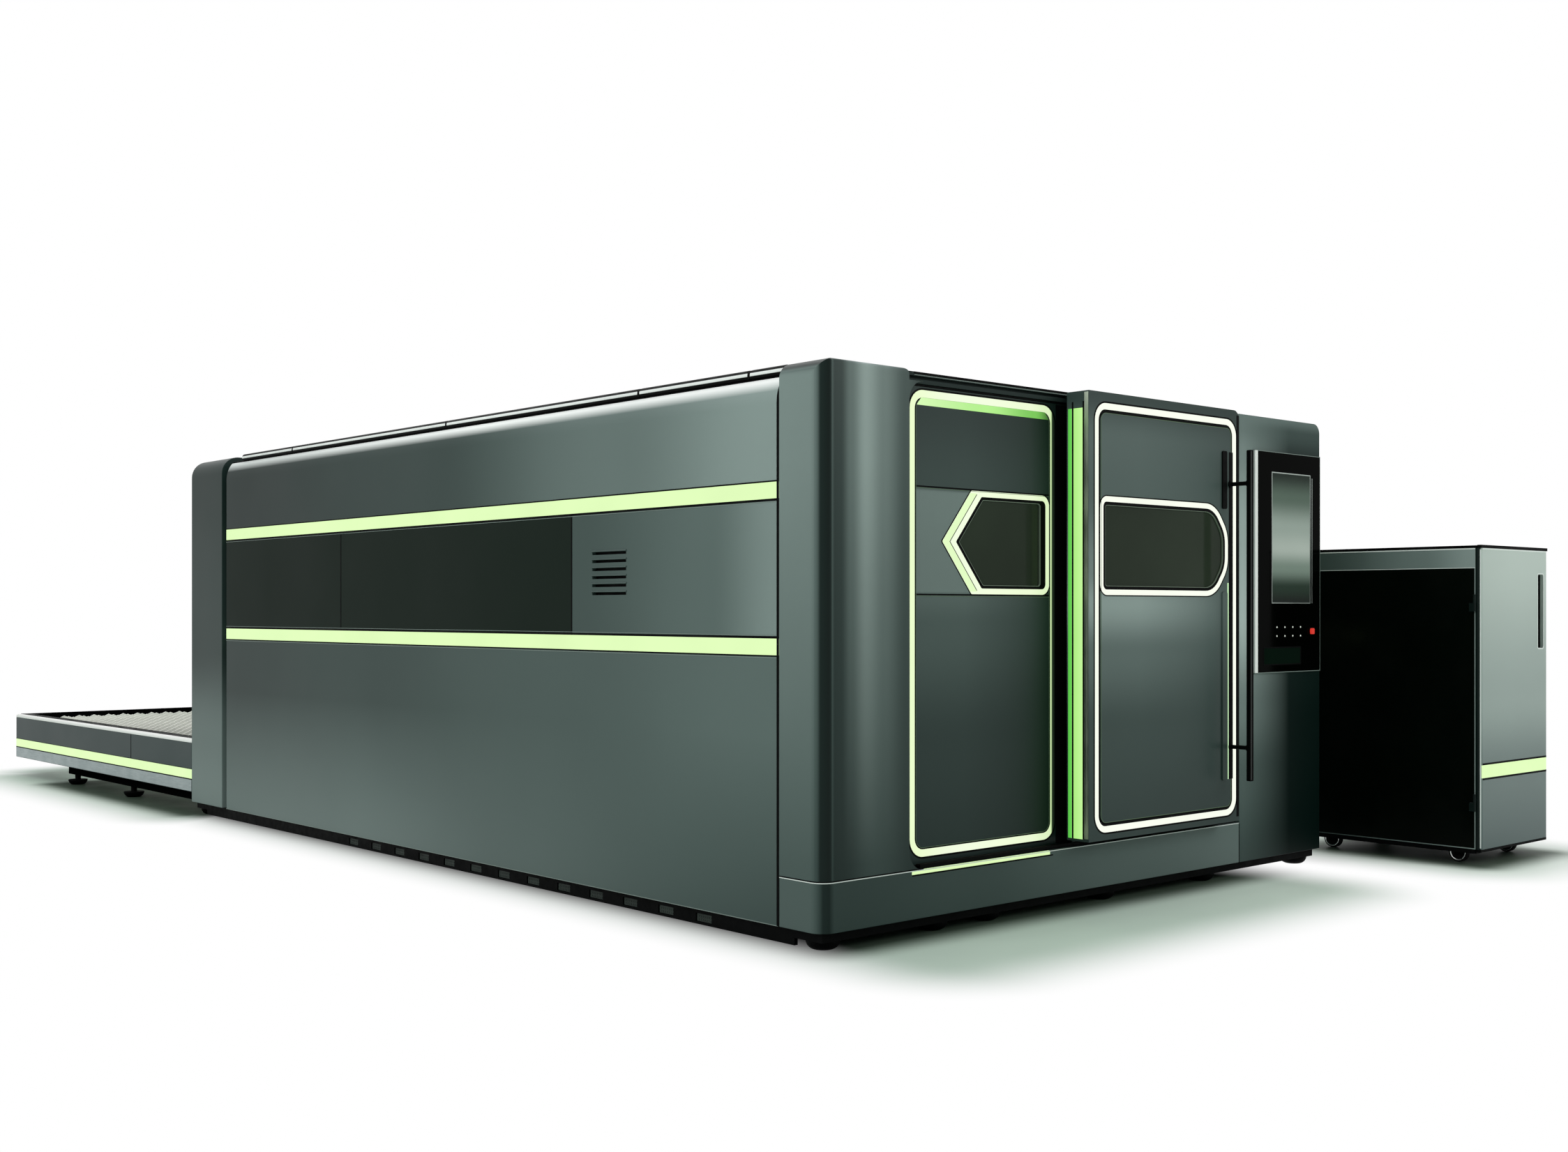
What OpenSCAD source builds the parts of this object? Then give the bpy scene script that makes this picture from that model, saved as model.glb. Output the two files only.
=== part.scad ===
// Enclosed sheet cutting machine with a pallet exchange table and a wheeled cooling unit.
// X runs to the right across the door front, Y from the door front to the exchange table, Z up.
// The origin is under the middle of the whole set, on the floor.

/* [Enclosure] */
// Width of the closed machine from left panel to right panel
machine_w = 3256; // [3100:1:3600]
// Length of the closed machine from door front to rear portal
machine_l = 5520; // [5300:1:6200]
// Height of the roof above the floor
machine_h = 2100; // [2060:1:2300]
// Height of the levelling feet
foot_h = 35; // [25:1:50]
// Radius of the flat pad under a levelling foot
foot_pad_r = 28; // [20:1:36]
// Height of the base pan that the machine stands on
base_h = 35; // [30:1:60]
// Setback of the base pan behind the panels
toe_inset = 25; // [15:1:60]
// Thickness of the slotted rails along the base's sides
toe_rail_t = 16; // [12:1:24]
// Clearance between side rails and floor
toe_gap = 8; // [4:1:12]
// Thickness of the side panels
panel_t = 30; // [20:1:36]
// Radius of the shoulder that turns the side panels into the roof
shoulder_r = 150; // [130:1:200]
// Height of the curved part of the shoulder
shoulder_rise = 96; // [70:1:110]
// Thickness of the roof deck
deck_t = 8; // [6:1:12]
// Height of the roof covers on the deck
cover_t = 36; // [25:1:50]
// Gap between neighbouring roof covers
cover_gap = 12; // [6:1:20]
// Length of the first roof cover behind the front module
first_cover_l = 206; // [150:1:300]
// Length of the second roof cover
second_cover_l = 682; // [500:1:900]
// Length of the third roof cover
third_cover_l = 1504; // [1200:1:1700]
// Length of the rearmost roof cover
last_cover_l = 649; // [450:1:800]
// Distance from the rearmost roof cover to the dark joint
cover_setback = 136; // [80:1:200]

/* [Side panels] */
// Distance from the roof down to the upper side stripe
stripe_drop = 426; // [350:1:480]
// Height of the dark band between the side stripes
band_h = 507; // [440:1:560]
// Width of the side stripes
stripe_h = 60; // [40:1:80]
// Seam between the vent panel and the centre panel, from the front
vent_seam_y = 1536; // [1450:1:1900]
// Seam between the centre panel and the rear panel, from the front
rear_seam_y = 3610; // [3300:1:4000]
// Width of the seams between panels
seam_w = 6; // [3:1:10]
// Number of louvre slots in the vent
vent_slots = 6; // [4:1:8]
// Length of a louvre slot
vent_w = 235; // [180:1:300]
// Height of a louvre slot
vent_slot_h = 12; // [8:1:16]
// Spacing of the louvre slots
vent_pitch = 33; // [26:1:36]
// Distance from the vent to the seam behind it
vent_setback = 148; // [100:1:200]
// Height of the lowest louvre slot above the lower stripe
vent_rise = 165; // [100:1:230]

/* [Rear portal] */
// Length of the portal at the rear of the enclosure
portal_l = 438; // [350:1:500]
// Width of the dark joint in front of the portal
portal_gap = 62; // [40:1:80]
// Radius of the portal's upper corners
portal_r = 100; // [80:1:130]
// Wall thickness of the portal
portal_t = 40; // [34:1:50]
// Thickness of the seal hoop in the dark joint
seal_t = 50; // [30:1:70]
// Height of the pallet opening above the floor
portal_open_h = 800; // [700:1:900]

/* [Front] */
// Width of the corner post on the front
post_w = 440; // [380:1:480]
// Depth of the front module on the side
front_l = 225; // [200:1:260]
// Radius of the corner post's vertical edge
post_r = 60; // [40:1:80]
// Radius of the corner post's upper front edge
post_top_r = 15; // [8:1:25]
// Thickness of the front skin
skin_t = 56; // [50:1:70]
// Height of the plinth's top above the floor
plinth_z = 250; // [220:1:280]
// Radius of the door bay's corners
bay_r = 75; // [50:1:100]
// Height of the header beam
header_h = 43; // [40:1:60]
// Setback of the header beam behind the post
header_set = 50; // [45:1:60]
// Width of the control cabinet
cabinet_w = 680; // [640:1:760]
// Radius of the control cabinet's upper right edge
cabinet_r = 48; // [30:1:70]
// Length of the sill light on the plinth
sill_light_l = 790; // [600:1:850]
// Height of the sill light
sill_light_h = 15; // [10:1:20]
// Depth of the sill light's groove
sill_light_t = 10; // [6:1:14]

/* [Console] */
// Width of the black console plate
console_w = 516; // [480:1:560]
// Height of the black console plate
console_h = 1015; // [960:1:1050]
// Distance from the roof down to the console plate
console_drop = 160; // [120:1:220]
// Thickness of the console plate
console_t = 10; // [9:1:14]
// Distance from the console plate to the cabinet's right edge
console_margin = 16; // [12:1:30]
// Width of the screen
screen_w = 322; // [300:1:340]
// Height of the screen
screen_h = 600; // [560:1:620]
// Thickness of the screen and the status display
screen_t = 5; // [3:1:6]
// Height of the screen above the console plate's lower edge
screen_rise = 321; // [310:1:360]
// Distance from the console plate's left edge to the screen
screen_inset = 105; // [80:1:150]
// Width of the status display
status_w = 308; // [260:1:340]
// Height of the status display
status_h = 75; // [60:1:90]
// Radius of a control button
button_r = 8; // [6:0.5:11]
// Travel of a control button
button_travel = 2.5; // [1.5:0.5:3]
// Width of the square stop button
stop_w = 28; // [22:1:34]
// Running clearance round the buttons
button_gap = 0.1; // [0.05:0.01:0.15]

/* [Doors] */
// Width of the inner door leaf
inner_leaf_w = 978; // [900:1:1060]
// Thickness of the inner door leaf
inner_leaf_t = 45; // [35:1:55]
// Overlap of the outer door leaf on the inner leaf
leaf_overlap = 60; // [40:1:90]
// Thickness of the outer door leaf
outer_leaf_t = 111; // [95:1:118]
// Distance that the outer door leaf stands out from the front
outer_leaf_proud = 95; // [80:1:110]
// Width of the right door jamb
jamb_w = 146; // [120:1:180]
// Width of the light ring on a door leaf
ring_w = 28; // [18:1:34]
// Corner radius of the light rings
ring_r = 72; // [50:1:90]
// Depth of the grooves that hold the lights
light_t = 8; // [5:1:12]
// Width of the shadow gap inside the outer leaf's light ring
ring_gap = 14; // [8:1:20]
// Depth of the shadow gap
ring_gap_depth = 6; // [3:1:7]
// Height of a door window
window_h = 400; // [340:1:440]
// Distance from the roof down to the middle of the windows
window_drop = 628; // [580:1:680]
// Corner radius of the windows' light frames
window_r = 44; // [36:1:60]
// Width of the light frame round a window
window_frame = 22; // [14:1:30]
// Extra width of the light frame at the pointed window end
chevron_w = 60; // [40:1:80]
// Length of the pointed window end
chevron_l = 165; // [130:1:190]
// Thickness of the window panes
glass_t = 12; // [8:1:18]
// Running clearance of the door leaves
leaf_gap = 0.5; // [0.3:0.1:0.8]

/* [Door handle] */
// Distance from the outer leaf's lower edge to the handle bar
handle_rise = 187; // [140:1:260]
// Distance from the handle bar to the outer leaf's upper edge
handle_drop = 185; // [140:1:260]
// Width of the handle bar
handle_w = 28; // [22:1:36]
// Depth of the handle bar
handle_t = 19; // [14:1:26]
// Gap between handle bar and door leaf
handle_gap = 91; // [70:1:100]
// Radius of the handle's standoffs
standoff_r = 9; // [7:1:12]
// Distance from the bar's ends to the standoffs
standoff_inset = 144; // [100:1:200]
// Width of the bumper strip beside the handle
strip_w = 36; // [30:1:44]
// Thickness of the bumper strip
strip_t = 6; // [4:1:10]

/* [Cutting axes] */
// Width of the bed's side beams
bed_beam_w = 95; // [80:1:110]
// Height of the bed's side beams
bed_beam_h = 570; // [540:1:620]
// Width of the guide rails
rail_w = 45; // [35:1:55]
// Height of the guide rails
rail_h = 38; // [30:1:46]
// Depth of the gantry beam
gantry_d = 240; // [200:1:300]
// Height of the gantry beam
gantry_h = 240; // [220:1:280]
// Distance from the door front to the gantry
gantry_y = 2600; // [2400:1:2800]
// Width of the head carriage
carriage_w = 300; // [260:1:360]
// Radius of the cutting head's body
head_r = 55; // [45:1:65]
// Length of the cutting head
head_l = 520; // [460:1:540]
// Running clearance of the cutting axes
axis_gap = 0.4; // [0.3:0.05:0.6]

/* [Exchange table] */
// Length of the exchange table behind the portal
table_l = 3259; // [3150:1:3500]
// Height of the table's rim above the floor
rim_z = 444; // [430:1:480]
// Width of the pale rim
rim_w = 24; // [18:1:30]
// Height of the pale rim
rim_h = 24; // [20:1:30]
// Height of the table skirt's lower edge above the floor
skirt_z = 128; // [110:1:140]
// Thickness of the table skirt
skirt_t = 30; // [22:1:36]
// Height of the table's stripe above the skirt's lower edge
table_stripe_rise = 78; // [60:1:100]
// Width of the table's stripe
table_stripe_h = 56; // [40:1:70]
// Distance from the portal to the skirt's seam
skirt_seam = 974; // [800:1:1300]
// Length of a pallet
pallet_l = 3040; // [2950:1:3080]
// Height of a pallet's frame
pallet_h = 60; // [50:1:70]
// Height of the slats above the pallet's frame
slat_rise = 42; // [30:1:50]
// Thickness of a slat
slat_t = 8; // [6:1:12]
// Spacing of the slats
slat_pitch = 95; // [80:1:120]
// Spacing of the teeth on a slat
tooth_pitch = 108; // [90:1:140]
// Distance from the door front to the pallet inside
pallet_in_y = 990; // [900:1:1050]
// Drop from the upper to the lower pallet
pallet_drop = 140; // [130:1:150]

/* [Cooling unit] */
// Width of the cooling unit
chiller_w = 705; // [650:1:780]
// Depth of the cooling unit
chiller_l = 900; // [820:1:1000]
// Height of the cooling unit above the floor
chiller_h = 1505; // [1400:1:1600]
// Height of the cooling unit's lower edge above the floor
chiller_z = 80; // [70:1:90]
// Distance between machine and cooling unit
chiller_gap = 451; // [400:1:520]
// Distance that the cooling unit stands in front of the machine
chiller_lead = 575; // [540:1:620]
// Radius of the cooling unit's upright edges
chiller_r = 25; // [15:1:40]
// Thickness of the cooling unit's door
chiller_door_t = 28; // [22:1:36]
// Height of the stripe on the cooling unit's door above the floor
chiller_stripe_z = 417; // [380:1:460]
// Width of the stripe on the cooling unit's door
chiller_stripe_h = 61; // [45:1:75]
// Wall thickness of the cooling unit
chiller_wall = 22; // [16:1:28]
// Height of the grip slot
grip_h = 364; // [300:1:400]
// Width of the grip slot
grip_w = 60; // [45:1:70]
// Height of the grip slot's lower end above the floor
grip_z = 1024; // [980:1:1060]
// Radius of a hinge pin
hinge_pin_r = 4; // [3:0.5:5]
// Radius of a caster wheel
wheel_r = 45; // [38:1:48]
// Width of a caster wheel
wheel_w = 32; // [24:1:36]
// Trail of a caster behind its swivel axis
trail = 26; // [18:1:30]
// Radius of a caster's swivel stem
stem_r = 9; // [7:0.5:12]
// Radius of a caster's axle
axle_r = 6; // [5:0.5:8]
// Running clearance of hinges, stems and axles
pin_gap = 0.06; // [0.03:0.01:0.09]

/* [Hidden] */
$fn = 48;
body_grey = "#4c5856";
panel_dark = "#2c332f";
black = "#121513";
lime = "#d2f9a0";
white_light = "#f2fbe4";
steel = "#a9aeac";
glass_dark = "#1d2622";

// Whole set
bay_x1 = machine_w - cabinet_w;
mid_x = bay_x1 / 2;
chiller_x0 = machine_w + chiller_gap;
chiller_x1 = chiller_x0 + chiller_w;
set_y1 = machine_l + table_l;
floor_gap = foot_h + base_h;

// Enclosure
deck_z = machine_h - cover_t - deck_t;
upper_stripe_z = machine_h - stripe_drop - stripe_h;
lower_stripe_z = upper_stripe_z - band_h - stripe_h;
vent_z = lower_stripe_z + stripe_h + vent_rise;
shoulder_z = deck_z - shoulder_rise;
portal_y0 = machine_l - portal_l;
panel_y1 = portal_y0 - portal_gap;
shoulder_in_r = shoulder_r - panel_t;
portal_lap = 15;
seal_lap = 18;
deck_set = 5;
cover_lip = 10;
deck_x0 = shoulder_r - sqrt(pow(shoulder_r, 2) - pow(shoulder_rise, 2)) + deck_set;
cover_x0 = deck_x0 - cover_lip;
cover_r = 20;
second_cover_y = front_l + first_cover_l;
third_cover_y = second_cover_y + second_cover_l;
cover_y1 = panel_y1 - cover_setback;
cover_breaks = [front_l, second_cover_y, third_cover_y, third_cover_y + third_cover_l,
    cover_y1 - last_cover_l, cover_y1];
front_feet_x = [90, 650, 950, 1678, 2400];
side_feet_y = [1400, 2700, 4050];
foot_inset = 90;
side_foot_inset = 130;
foot_stem_r = 19;
toe_rail_y = 170;
toe_slots = 13;
toe_slot_y = 640;
toe_slot_pitch = 236;
toe_slot = [11, 96, 32];
toe_slot_z = 18;

// Door bay
bay_x0 = post_w;
post_corner_r = 25;
sill_light_x = 15;
jamb_lap = 10;
header_z = machine_h - header_h;
frame_y0 = skin_t;
frame_slack = 24;
frame_t = inner_leaf_t + frame_slack;
frame_y1 = frame_y0 + frame_t;
frame_rail = 8;
jamb_lip = 12;
leaf_set = 4;
sill_gap = 30;
roof_gap = 8;
inner_leaf_x0 = bay_x0 + jamb_lip + leaf_gap;
inner_leaf_x1 = inner_leaf_x0 + inner_leaf_w;
inner_leaf_y0 = frame_y0 + leaf_set;
inner_leaf_z0 = plinth_z + frame_rail + leaf_gap;
inner_leaf_z1 = header_z - frame_rail - leaf_gap;
outer_leaf_x0 = inner_leaf_x1 - leaf_overlap;
outer_leaf_x1 = bay_x1 - jamb_w;
outer_leaf_y0 = -outer_leaf_proud;
outer_leaf_y1 = outer_leaf_y0 + outer_leaf_t;
outer_leaf_z0 = plinth_z + sill_gap;
outer_leaf_z1 = machine_h - roof_gap;
outer_leaf_r = 40;
track_w = 22;
track_h = 16;
track_set = 2;
track_floor = 3;
shoe_lift = 4;
track_y0 = outer_leaf_y1 + track_set;
tongue_t = 8;
tongue_y = track_y0 + track_w / 2;
shoe_w = 60;
shoe_h = 40;
shoe_z = plinth_z + track_h + shoe_lift;
track_z = plinth_z + track_floor;
shoe_inset = 50;
hanger_z = header_z + header_h / 2;
hanger_h = 12;
hanger_depth = 20;
seat_gap = 0.05;

// Light rings and windows: distances from the leaf's edges to the outside of the ring
inner_ring = [50, 85, 26, 12];
outer_ring = [38, 24, 31, 44];
inner_ring_x = [inner_leaf_x0 + inner_ring[0], inner_leaf_x1 - inner_ring[1]];
inner_ring_z = [inner_leaf_z0 + inner_ring[2], inner_leaf_z1 - inner_ring[3]];
outer_ring_x = [outer_leaf_x0 + outer_ring[0], outer_leaf_x1 - outer_ring[1]];
outer_ring_z = [outer_leaf_z0 + outer_ring[2], outer_leaf_z1 - outer_ring[3]];
window_z = machine_h - window_drop;
ring_step = 3;
outer_ring_w = ring_w - ring_step;
window_margin = 6;
window_point_r = 12;
window_slant_r = 140;
leaf_seam_depth = 4;
window_inset = [177, 62];
inner_window_x = [inner_ring_x[0] + window_inset[0], inner_ring_x[1] - ring_w - window_margin];
outer_window_x = [outer_ring_x[0] + ring_w + window_margin, outer_ring_x[1] - window_inset[1]];
outer_window_cut = [96, 122];
side_light_x = 6;
edge_light_y = [32, 78];
edge_line_y = [86, 106];
edge_light_ends = [10, 68];

// Handle
handle_inset = 70;
strip_pitch = 46;
strip_lap = 18;
handle_x = outer_leaf_x1 - handle_inset;
handle_z = outer_leaf_z0 + handle_rise;
handle_l = outer_leaf_z1 - handle_drop - handle_z;
strip_x = handle_x - strip_pitch;
strip_r = 8;
strip_clear = window_h / 2 - strip_lap;
bar_r = 6;
handle_y1 = outer_leaf_y0 - handle_gap;
handle_y0 = handle_y1 - handle_t;

// Console
console_z = machine_h - console_drop - console_h;
console_x1 = machine_w - console_margin;
console_x0 = console_x1 - console_w;
screen_x0 = console_x0 + screen_inset;
screen_z0 = console_z + screen_rise;
console_r = 12;
status_place = [37, 36];
button_first = [142, 166];
button_rest = 1;
stop_inset = 78;
status_x0 = console_x0 + status_place[0];
status_z0 = console_z + status_place[1];
button_x0 = console_x0 + button_first[0];
button_z0 = console_z + button_first[1];
button_pitch = [67, 41];
button_proud = 2;
button_l = console_t + button_proud - button_travel - button_rest;
stop_x = console_x1 - stop_inset;
stop_z = button_z0 + button_pitch[1] / 2;
stop_proud = 8;
stop_corner_r = 6;
stop_stem_r = 9;
stop_rest = button_travel + button_rest;

// Cutting axes
bed_gap = 10;
bed_setback = [300, 82];
bed_x0 = panel_t + bed_gap;
bed_x1 = bed_x0 + bed_beam_w;
bed_y = [bed_setback[0], portal_y0 - bed_setback[1]];
bed_z1 = floor_gap + bed_beam_h;
bed_tie = [120, 80];
rail_x = bed_x0 + bed_beam_w / 2;
rail_top = bed_z1 + rail_h;
saddle_gap = 6;
saddle_rise = 130;
rail_end = 20;
saddle_w = bed_beam_w - saddle_gap;
saddle_l = 420;
saddle_z0 = bed_z1 + saddle_gap;
gantry_z0 = rail_top + saddle_rise;
gantry_z1 = gantry_z0 + gantry_h;
gantry_y0 = gantry_y - gantry_d / 2;
beam_rail = [26, 30];
beam_rail_inset = 24;
carriage_t = 40;
carriage_y1 = gantry_y0 - beam_rail[0] - axis_gap;
carriage_y0 = carriage_y1 - carriage_t;
jaw_h = 25;
jaw_gap = 6;
head_rail = [26, 24];
head_rail_x = 60;
head_plate_t = 30;
head_y1 = carriage_y0 - head_rail[1] - axis_gap;
head_y0 = head_y1 - head_plate_t;
head_bite = 8;
head_rise = 50;
head_plate_inset = 20;
head_cheek = 16;
head_axis_y = head_y0 - head_r + head_bite;
head_tip_z = gantry_z1 - head_l + head_rise;
// Steps of the head from the nozzle up: foot, length, and both radii as shares of the body's radius
head_steps = [[0, 30, 0.09, 0.3], [30, 30, 0.45, 0.45], [60, 50, 0.7, 0.7], [110, head_l - 170, 1, 1],
    [head_l - 60, 60, 0.6, 0.6]];
gantry_holes = 7;
gantry_hole_pitch = 320;
laser_box = [520, 900, 930];
laser_inset = 80;
laser_x0 = bay_x1 + laser_inset;
laser_y0 = 1000;
laser_vents = 8;
laser_vent = [12, 14];
laser_vent_pitch = 30;
laser_vent_rise = 600;
laser_vent_margin = 100;

// Pallets and exchange table
pallet_side_gap = 8;
pallet_x0 = bed_x1 + pallet_side_gap;
pallet_w = 2 * (mid_x - pallet_x0);
slat_sink = 12;
upper_level = rim_z - slat_sink - slat_rise - pallet_h;
lower_level = upper_level - pallet_drop;
ledge_w = 70;
ledge_t = 26;
ledge_lead = 40;
table_feet_y = [1135, 2180];
under_beam = [40, 120];
under_z = 72;
under_lead = 70;
table_y0 = machine_l;
end_beam_w = 60;
tie_w = 100;
table_tie_y = concat([table_y0 + end_beam_w], [for (y = table_feet_y) machine_l + y - tie_w / 2]);
table_beam_y1 = set_y1 - skirt_t;
pallet_set = 110;
pallet_y0 = table_y0 + pallet_set;
pallet_rail_w = 60;
slat_foot = 20;
spine_h = 30;
tooth_h = 24;
notches = 17;
notch_pitch = 125;
notch = [10, 18];
side_beam_drop = 6;
end_beam_drop = 2;
rim_r = 17;
table_foot_x = (under_beam[0] + under_beam[1]) / 2;

// Cooling unit
chiller_y0 = -chiller_lead;
chiller_body_y0 = chiller_y0 + chiller_door_t;
chiller_y1 = chiller_y0 + chiller_l;
caster_space = 50;
chiller_pan_z = chiller_z + caster_space;
chiller_floor_t = 50;
chiller_band = 95;
chiller_bay_z = [chiller_pan_z + chiller_floor_t, chiller_h - chiller_band];
chiller_vents = 8;
chiller_vent_h = 18;
chiller_vent_pitch = 36;
chiller_vent_drop = 420;
chiller_vent_z = chiller_h - chiller_vent_drop;
chiller_vent_margin = 120;
door_pocket = [26, 12];
tank = [300, 360, 420];
tank_inset = 60;
tank_r = 40;
compressor_r = 115;
compressor_h = 280;
compressor_dome_r = 50;
stripe_t = 3;
chiller_inset = 6;
chiller_lip = 4;
caster_inset = chiller_wall + trail + wheel_r + 10;
caster_plate_t = 6;
caster_clear = 0.4;
fork_margin = 14;
fork_lead = [2, 18];
wheel_side_gap = 1;
caster_plate_r = 30;
fork_t = 5;
leaf_seat = 0.4;
stem_l = 38;
grip_depth = 20;
grip_inset = 50;
grip_x = [chiller_x1 - grip_inset - grip_w, chiller_x1 - grip_inset];
door_edge_r = 20;
knuckle_wall = 3;
knuckle_clear = 0.5;
knuckle_r = hinge_pin_r + knuckle_wall;
hinge_out = knuckle_r + knuckle_clear;
knuckle_h = 40;
hinge_leaf_l = 24;
hinge_tail = 12;
pin_short = 4;
hinge_rise = 220;
hinge_drop = 260;
hinge_z = [chiller_z + hinge_rise, chiller_h - hinge_drop];

// Places a shape that is drawn from the front left corner of the enclosure
module from_corner() {
    translate([-chiller_x1 / 2, -(set_y1 - chiller_lead) / 2, 0]) children();
}

// A box given by its two ends along each axis
module block(x, y, z) {
    translate([x[0], y[0], z[0]]) cube([x[1] - x[0], y[1] - y[0], z[1] - z[0]]);
}

// Raises an outline drawn in X and Z to a plate between two Y values
module front_plate(y) {
    translate([0, y[1], 0]) rotate([90, 0, 0]) linear_extrude(y[1] - y[0]) children();
}

// Raises an outline drawn in Y and Z to a plate between two X values
module side_plate(x) {
    translate([x[0], 0, 0]) rotate([90, 0, 90]) linear_extrude(x[1] - x[0]) children();
}

// A rectangle whose corners have their own radii: lower left, lower right, upper right, upper left
module rounded(x, z, r) {
    size = [x[1] - x[0], z[1] - z[0]];
    ends = [[0, 0], [1, 0], [1, 1], [0, 1]];
    translate([x[0], z[0]]) {
        difference() {
            square(size);
            for (i = [0:3]) if (r[i] > 0)
                translate([ends[i][0] * (size[0] - r[i]), ends[i][1] * (size[1] - r[i])]) square(r[i]);
        }
        for (i = [0:3]) if (r[i] > 0) intersection() {
            translate([r[i] + ends[i][0] * (size[0] - 2 * r[i]), r[i] + ends[i][1] * (size[1] - 2 * r[i])])
                circle(r[i]);
            translate([ends[i][0] * (size[0] - r[i]), ends[i][1] * (size[1] - r[i])]) square(r[i]);
        }
    }
}

function toward(a, b) = (b - a) / norm(b - a);

// Direction from a corner of an outline to the corner that is a number of steps further on
function side(points, i, step) = toward(points[i], points[(i + len(points) + step) % len(points)]);

function half_angle(points, i) = acos(side(points, i, -1) * side(points, i, 1)) / 2;

// Where the rounding of a corner meets the side that leads to the next or previous corner
function rounding_end(points, r, i, step) = points[i]
    + side(points, i, step) * r[i] / tan(half_angle(points, i));

// Centre of the rounding of corner i
function rounding_centre(points, r, i) = points[i]
    + toward([0, 0], side(points, i, -1) + side(points, i, 1)) * r[i] / sin(half_angle(points, i));

// A convex outline whose corners have their own radii
module soft_polygon(points, r) {
    corners = [0:len(points) - 1];
    polygon([for (i = corners, step = [-1, 1]) rounding_end(points, r, i, step)]);
    for (i = corners) intersection() {
        translate(rounding_centre(points, r, i)) circle(r[i]);
        polygon([rounding_end(points, r, i, -1), points[i], rounding_end(points, r, i, 1),
            rounding_centre(points, r, i)]);
    }
}

// Shapes on the right of a width that repeat those on the left
module both_sides(w) {
    children();
    translate([w, 0, 0]) mirror([1, 0, 0]) children();
}

// Base, feet and bed
module base_pan() {
    color(black) from_corner() difference() {
        union() {
            block([toe_inset, machine_w - toe_inset], [toe_inset, machine_l - toe_inset],
                [foot_h, floor_gap]);
            both_sides(machine_w) block([toe_inset, toe_inset + toe_rail_t],
                [toe_rail_y, machine_l - toe_rail_y], [toe_gap, floor_gap]);
        }
        both_sides(machine_w) for (i = [0:toe_slots - 1])
            translate([toe_inset - 1, toe_slot_y + i * toe_slot_pitch, toe_slot_z]) cube(toe_slot);
    }
}

// Rubber foot: a bowl whose side rolls down into a flat pad
module foot() {
    rotate_extrude() {
        square([foot_pad_r, foot_h]);
        intersection() {
            translate([foot_pad_r, foot_h]) circle(foot_h);
            translate([foot_pad_r, 0]) square(foot_h);
        }
    }
}

module levelling_feet() {
    color(black) from_corner() {
        for (x = concat(front_feet_x, [machine_w - foot_inset]), y = [foot_inset, machine_l - foot_inset])
            translate([x, y, 0]) foot();
        for (x = [side_foot_inset, machine_w - side_foot_inset], y = side_feet_y)
            translate([x, y, 0]) foot();
        for (x = [table_foot_x, bay_x1 - table_foot_x], y = table_feet_y)
            translate([x, machine_l + y, 0]) {
                foot();
                cylinder(r = foot_stem_r, h = under_z);
            }
    }
}

module pallet_ledges(x, y) {
    for (level = [upper_level, lower_level])
        block([x, x + ledge_w], y, [level - ledge_t, level]);
}

module bed_frame() {
    color(body_grey) from_corner() {
        both_sides(bay_x1) {
            block([bed_x0, bed_x1], bed_y, [floor_gap, bed_z1]);
            pallet_ledges(bed_x1, [pallet_in_y - ledge_lead, bed_y[1]]);
        }
        block([bed_x1, bay_x1 - bed_x1], [bed_y[0], bed_y[0] + bed_tie[0]], [floor_gap, bed_z1]);
        block([bed_x1, bay_x1 - bed_x1], [bed_y[1] - bed_tie[0], bed_y[1]],
            [floor_gap, floor_gap + bed_tie[1]]);
    }
}

module guide_rails() {
    color(steel) from_corner() both_sides(bay_x1)
        block([rail_x - rail_w / 2, rail_x + rail_w / 2], [bed_y[0] + rail_end, bed_y[1] - rail_end],
            [bed_z1, rail_top]);
}

// Front module: plinth, corner post, header and door frame
module corner_plan(front_w) {
    difference() {
        union() {
            square([front_w, skin_t]);
            square([post_r, front_l]);
        }
        square(post_r);
    }
    intersection() {
        translate([post_r, post_r]) circle(post_r);
        square(post_r);
    }
}

module front_plinth() {
    color(body_grey) from_corner() difference() {
        translate([0, 0, floor_gap]) linear_extrude(plinth_z - floor_gap) corner_plan(bay_x1);
        sill_light_space();
    }
}

module sill_light_space() {
    block([bay_x0 + sill_light_x, bay_x0 + sill_light_x + sill_light_l], [0, sill_light_t],
        [plinth_z - sill_light_h, plinth_z]);
}

module front_post() {
    color(body_grey) from_corner() intersection() {
        translate([0, 0, plinth_z]) linear_extrude(machine_h - plinth_z) corner_plan(post_w + bay_r);
        front_plate([0, front_l]) {
            rounded([0, post_w], [plinth_z, machine_h], [0, 0, post_corner_r, post_r]);
            difference() {
                square_between([post_w - 1, post_w + bay_r], [plinth_z, header_z]);
                rounded([post_w, post_w + 3 * bay_r], [plinth_z, header_z], [bay_r, 0, 0, bay_r]);
            }
        }
        side_plate([0, post_w + bay_r]) rounded([0, front_l], [plinth_z, machine_h], [0, 0, 0, post_top_r]);
    }
}

module square_between(x, z) {
    translate([x[0], z[0]]) square([x[1] - x[0], z[1] - z[0]]);
}

module front_header() {
    color(body_grey) from_corner() difference() {
        union() {
            block([bay_x0, bay_x1], [header_set, front_l], [header_z, machine_h]);
            block([post_r, bay_x0 + 1], [skin_t, front_l], [header_z, machine_h]);
        }
        block([bay_x0 - 1, bay_x1 + 1], [header_set - 1, header_set + hanger_depth],
            [hanger_z - hanger_h / 2, hanger_z + hanger_h / 2]);
    }
}

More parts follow.
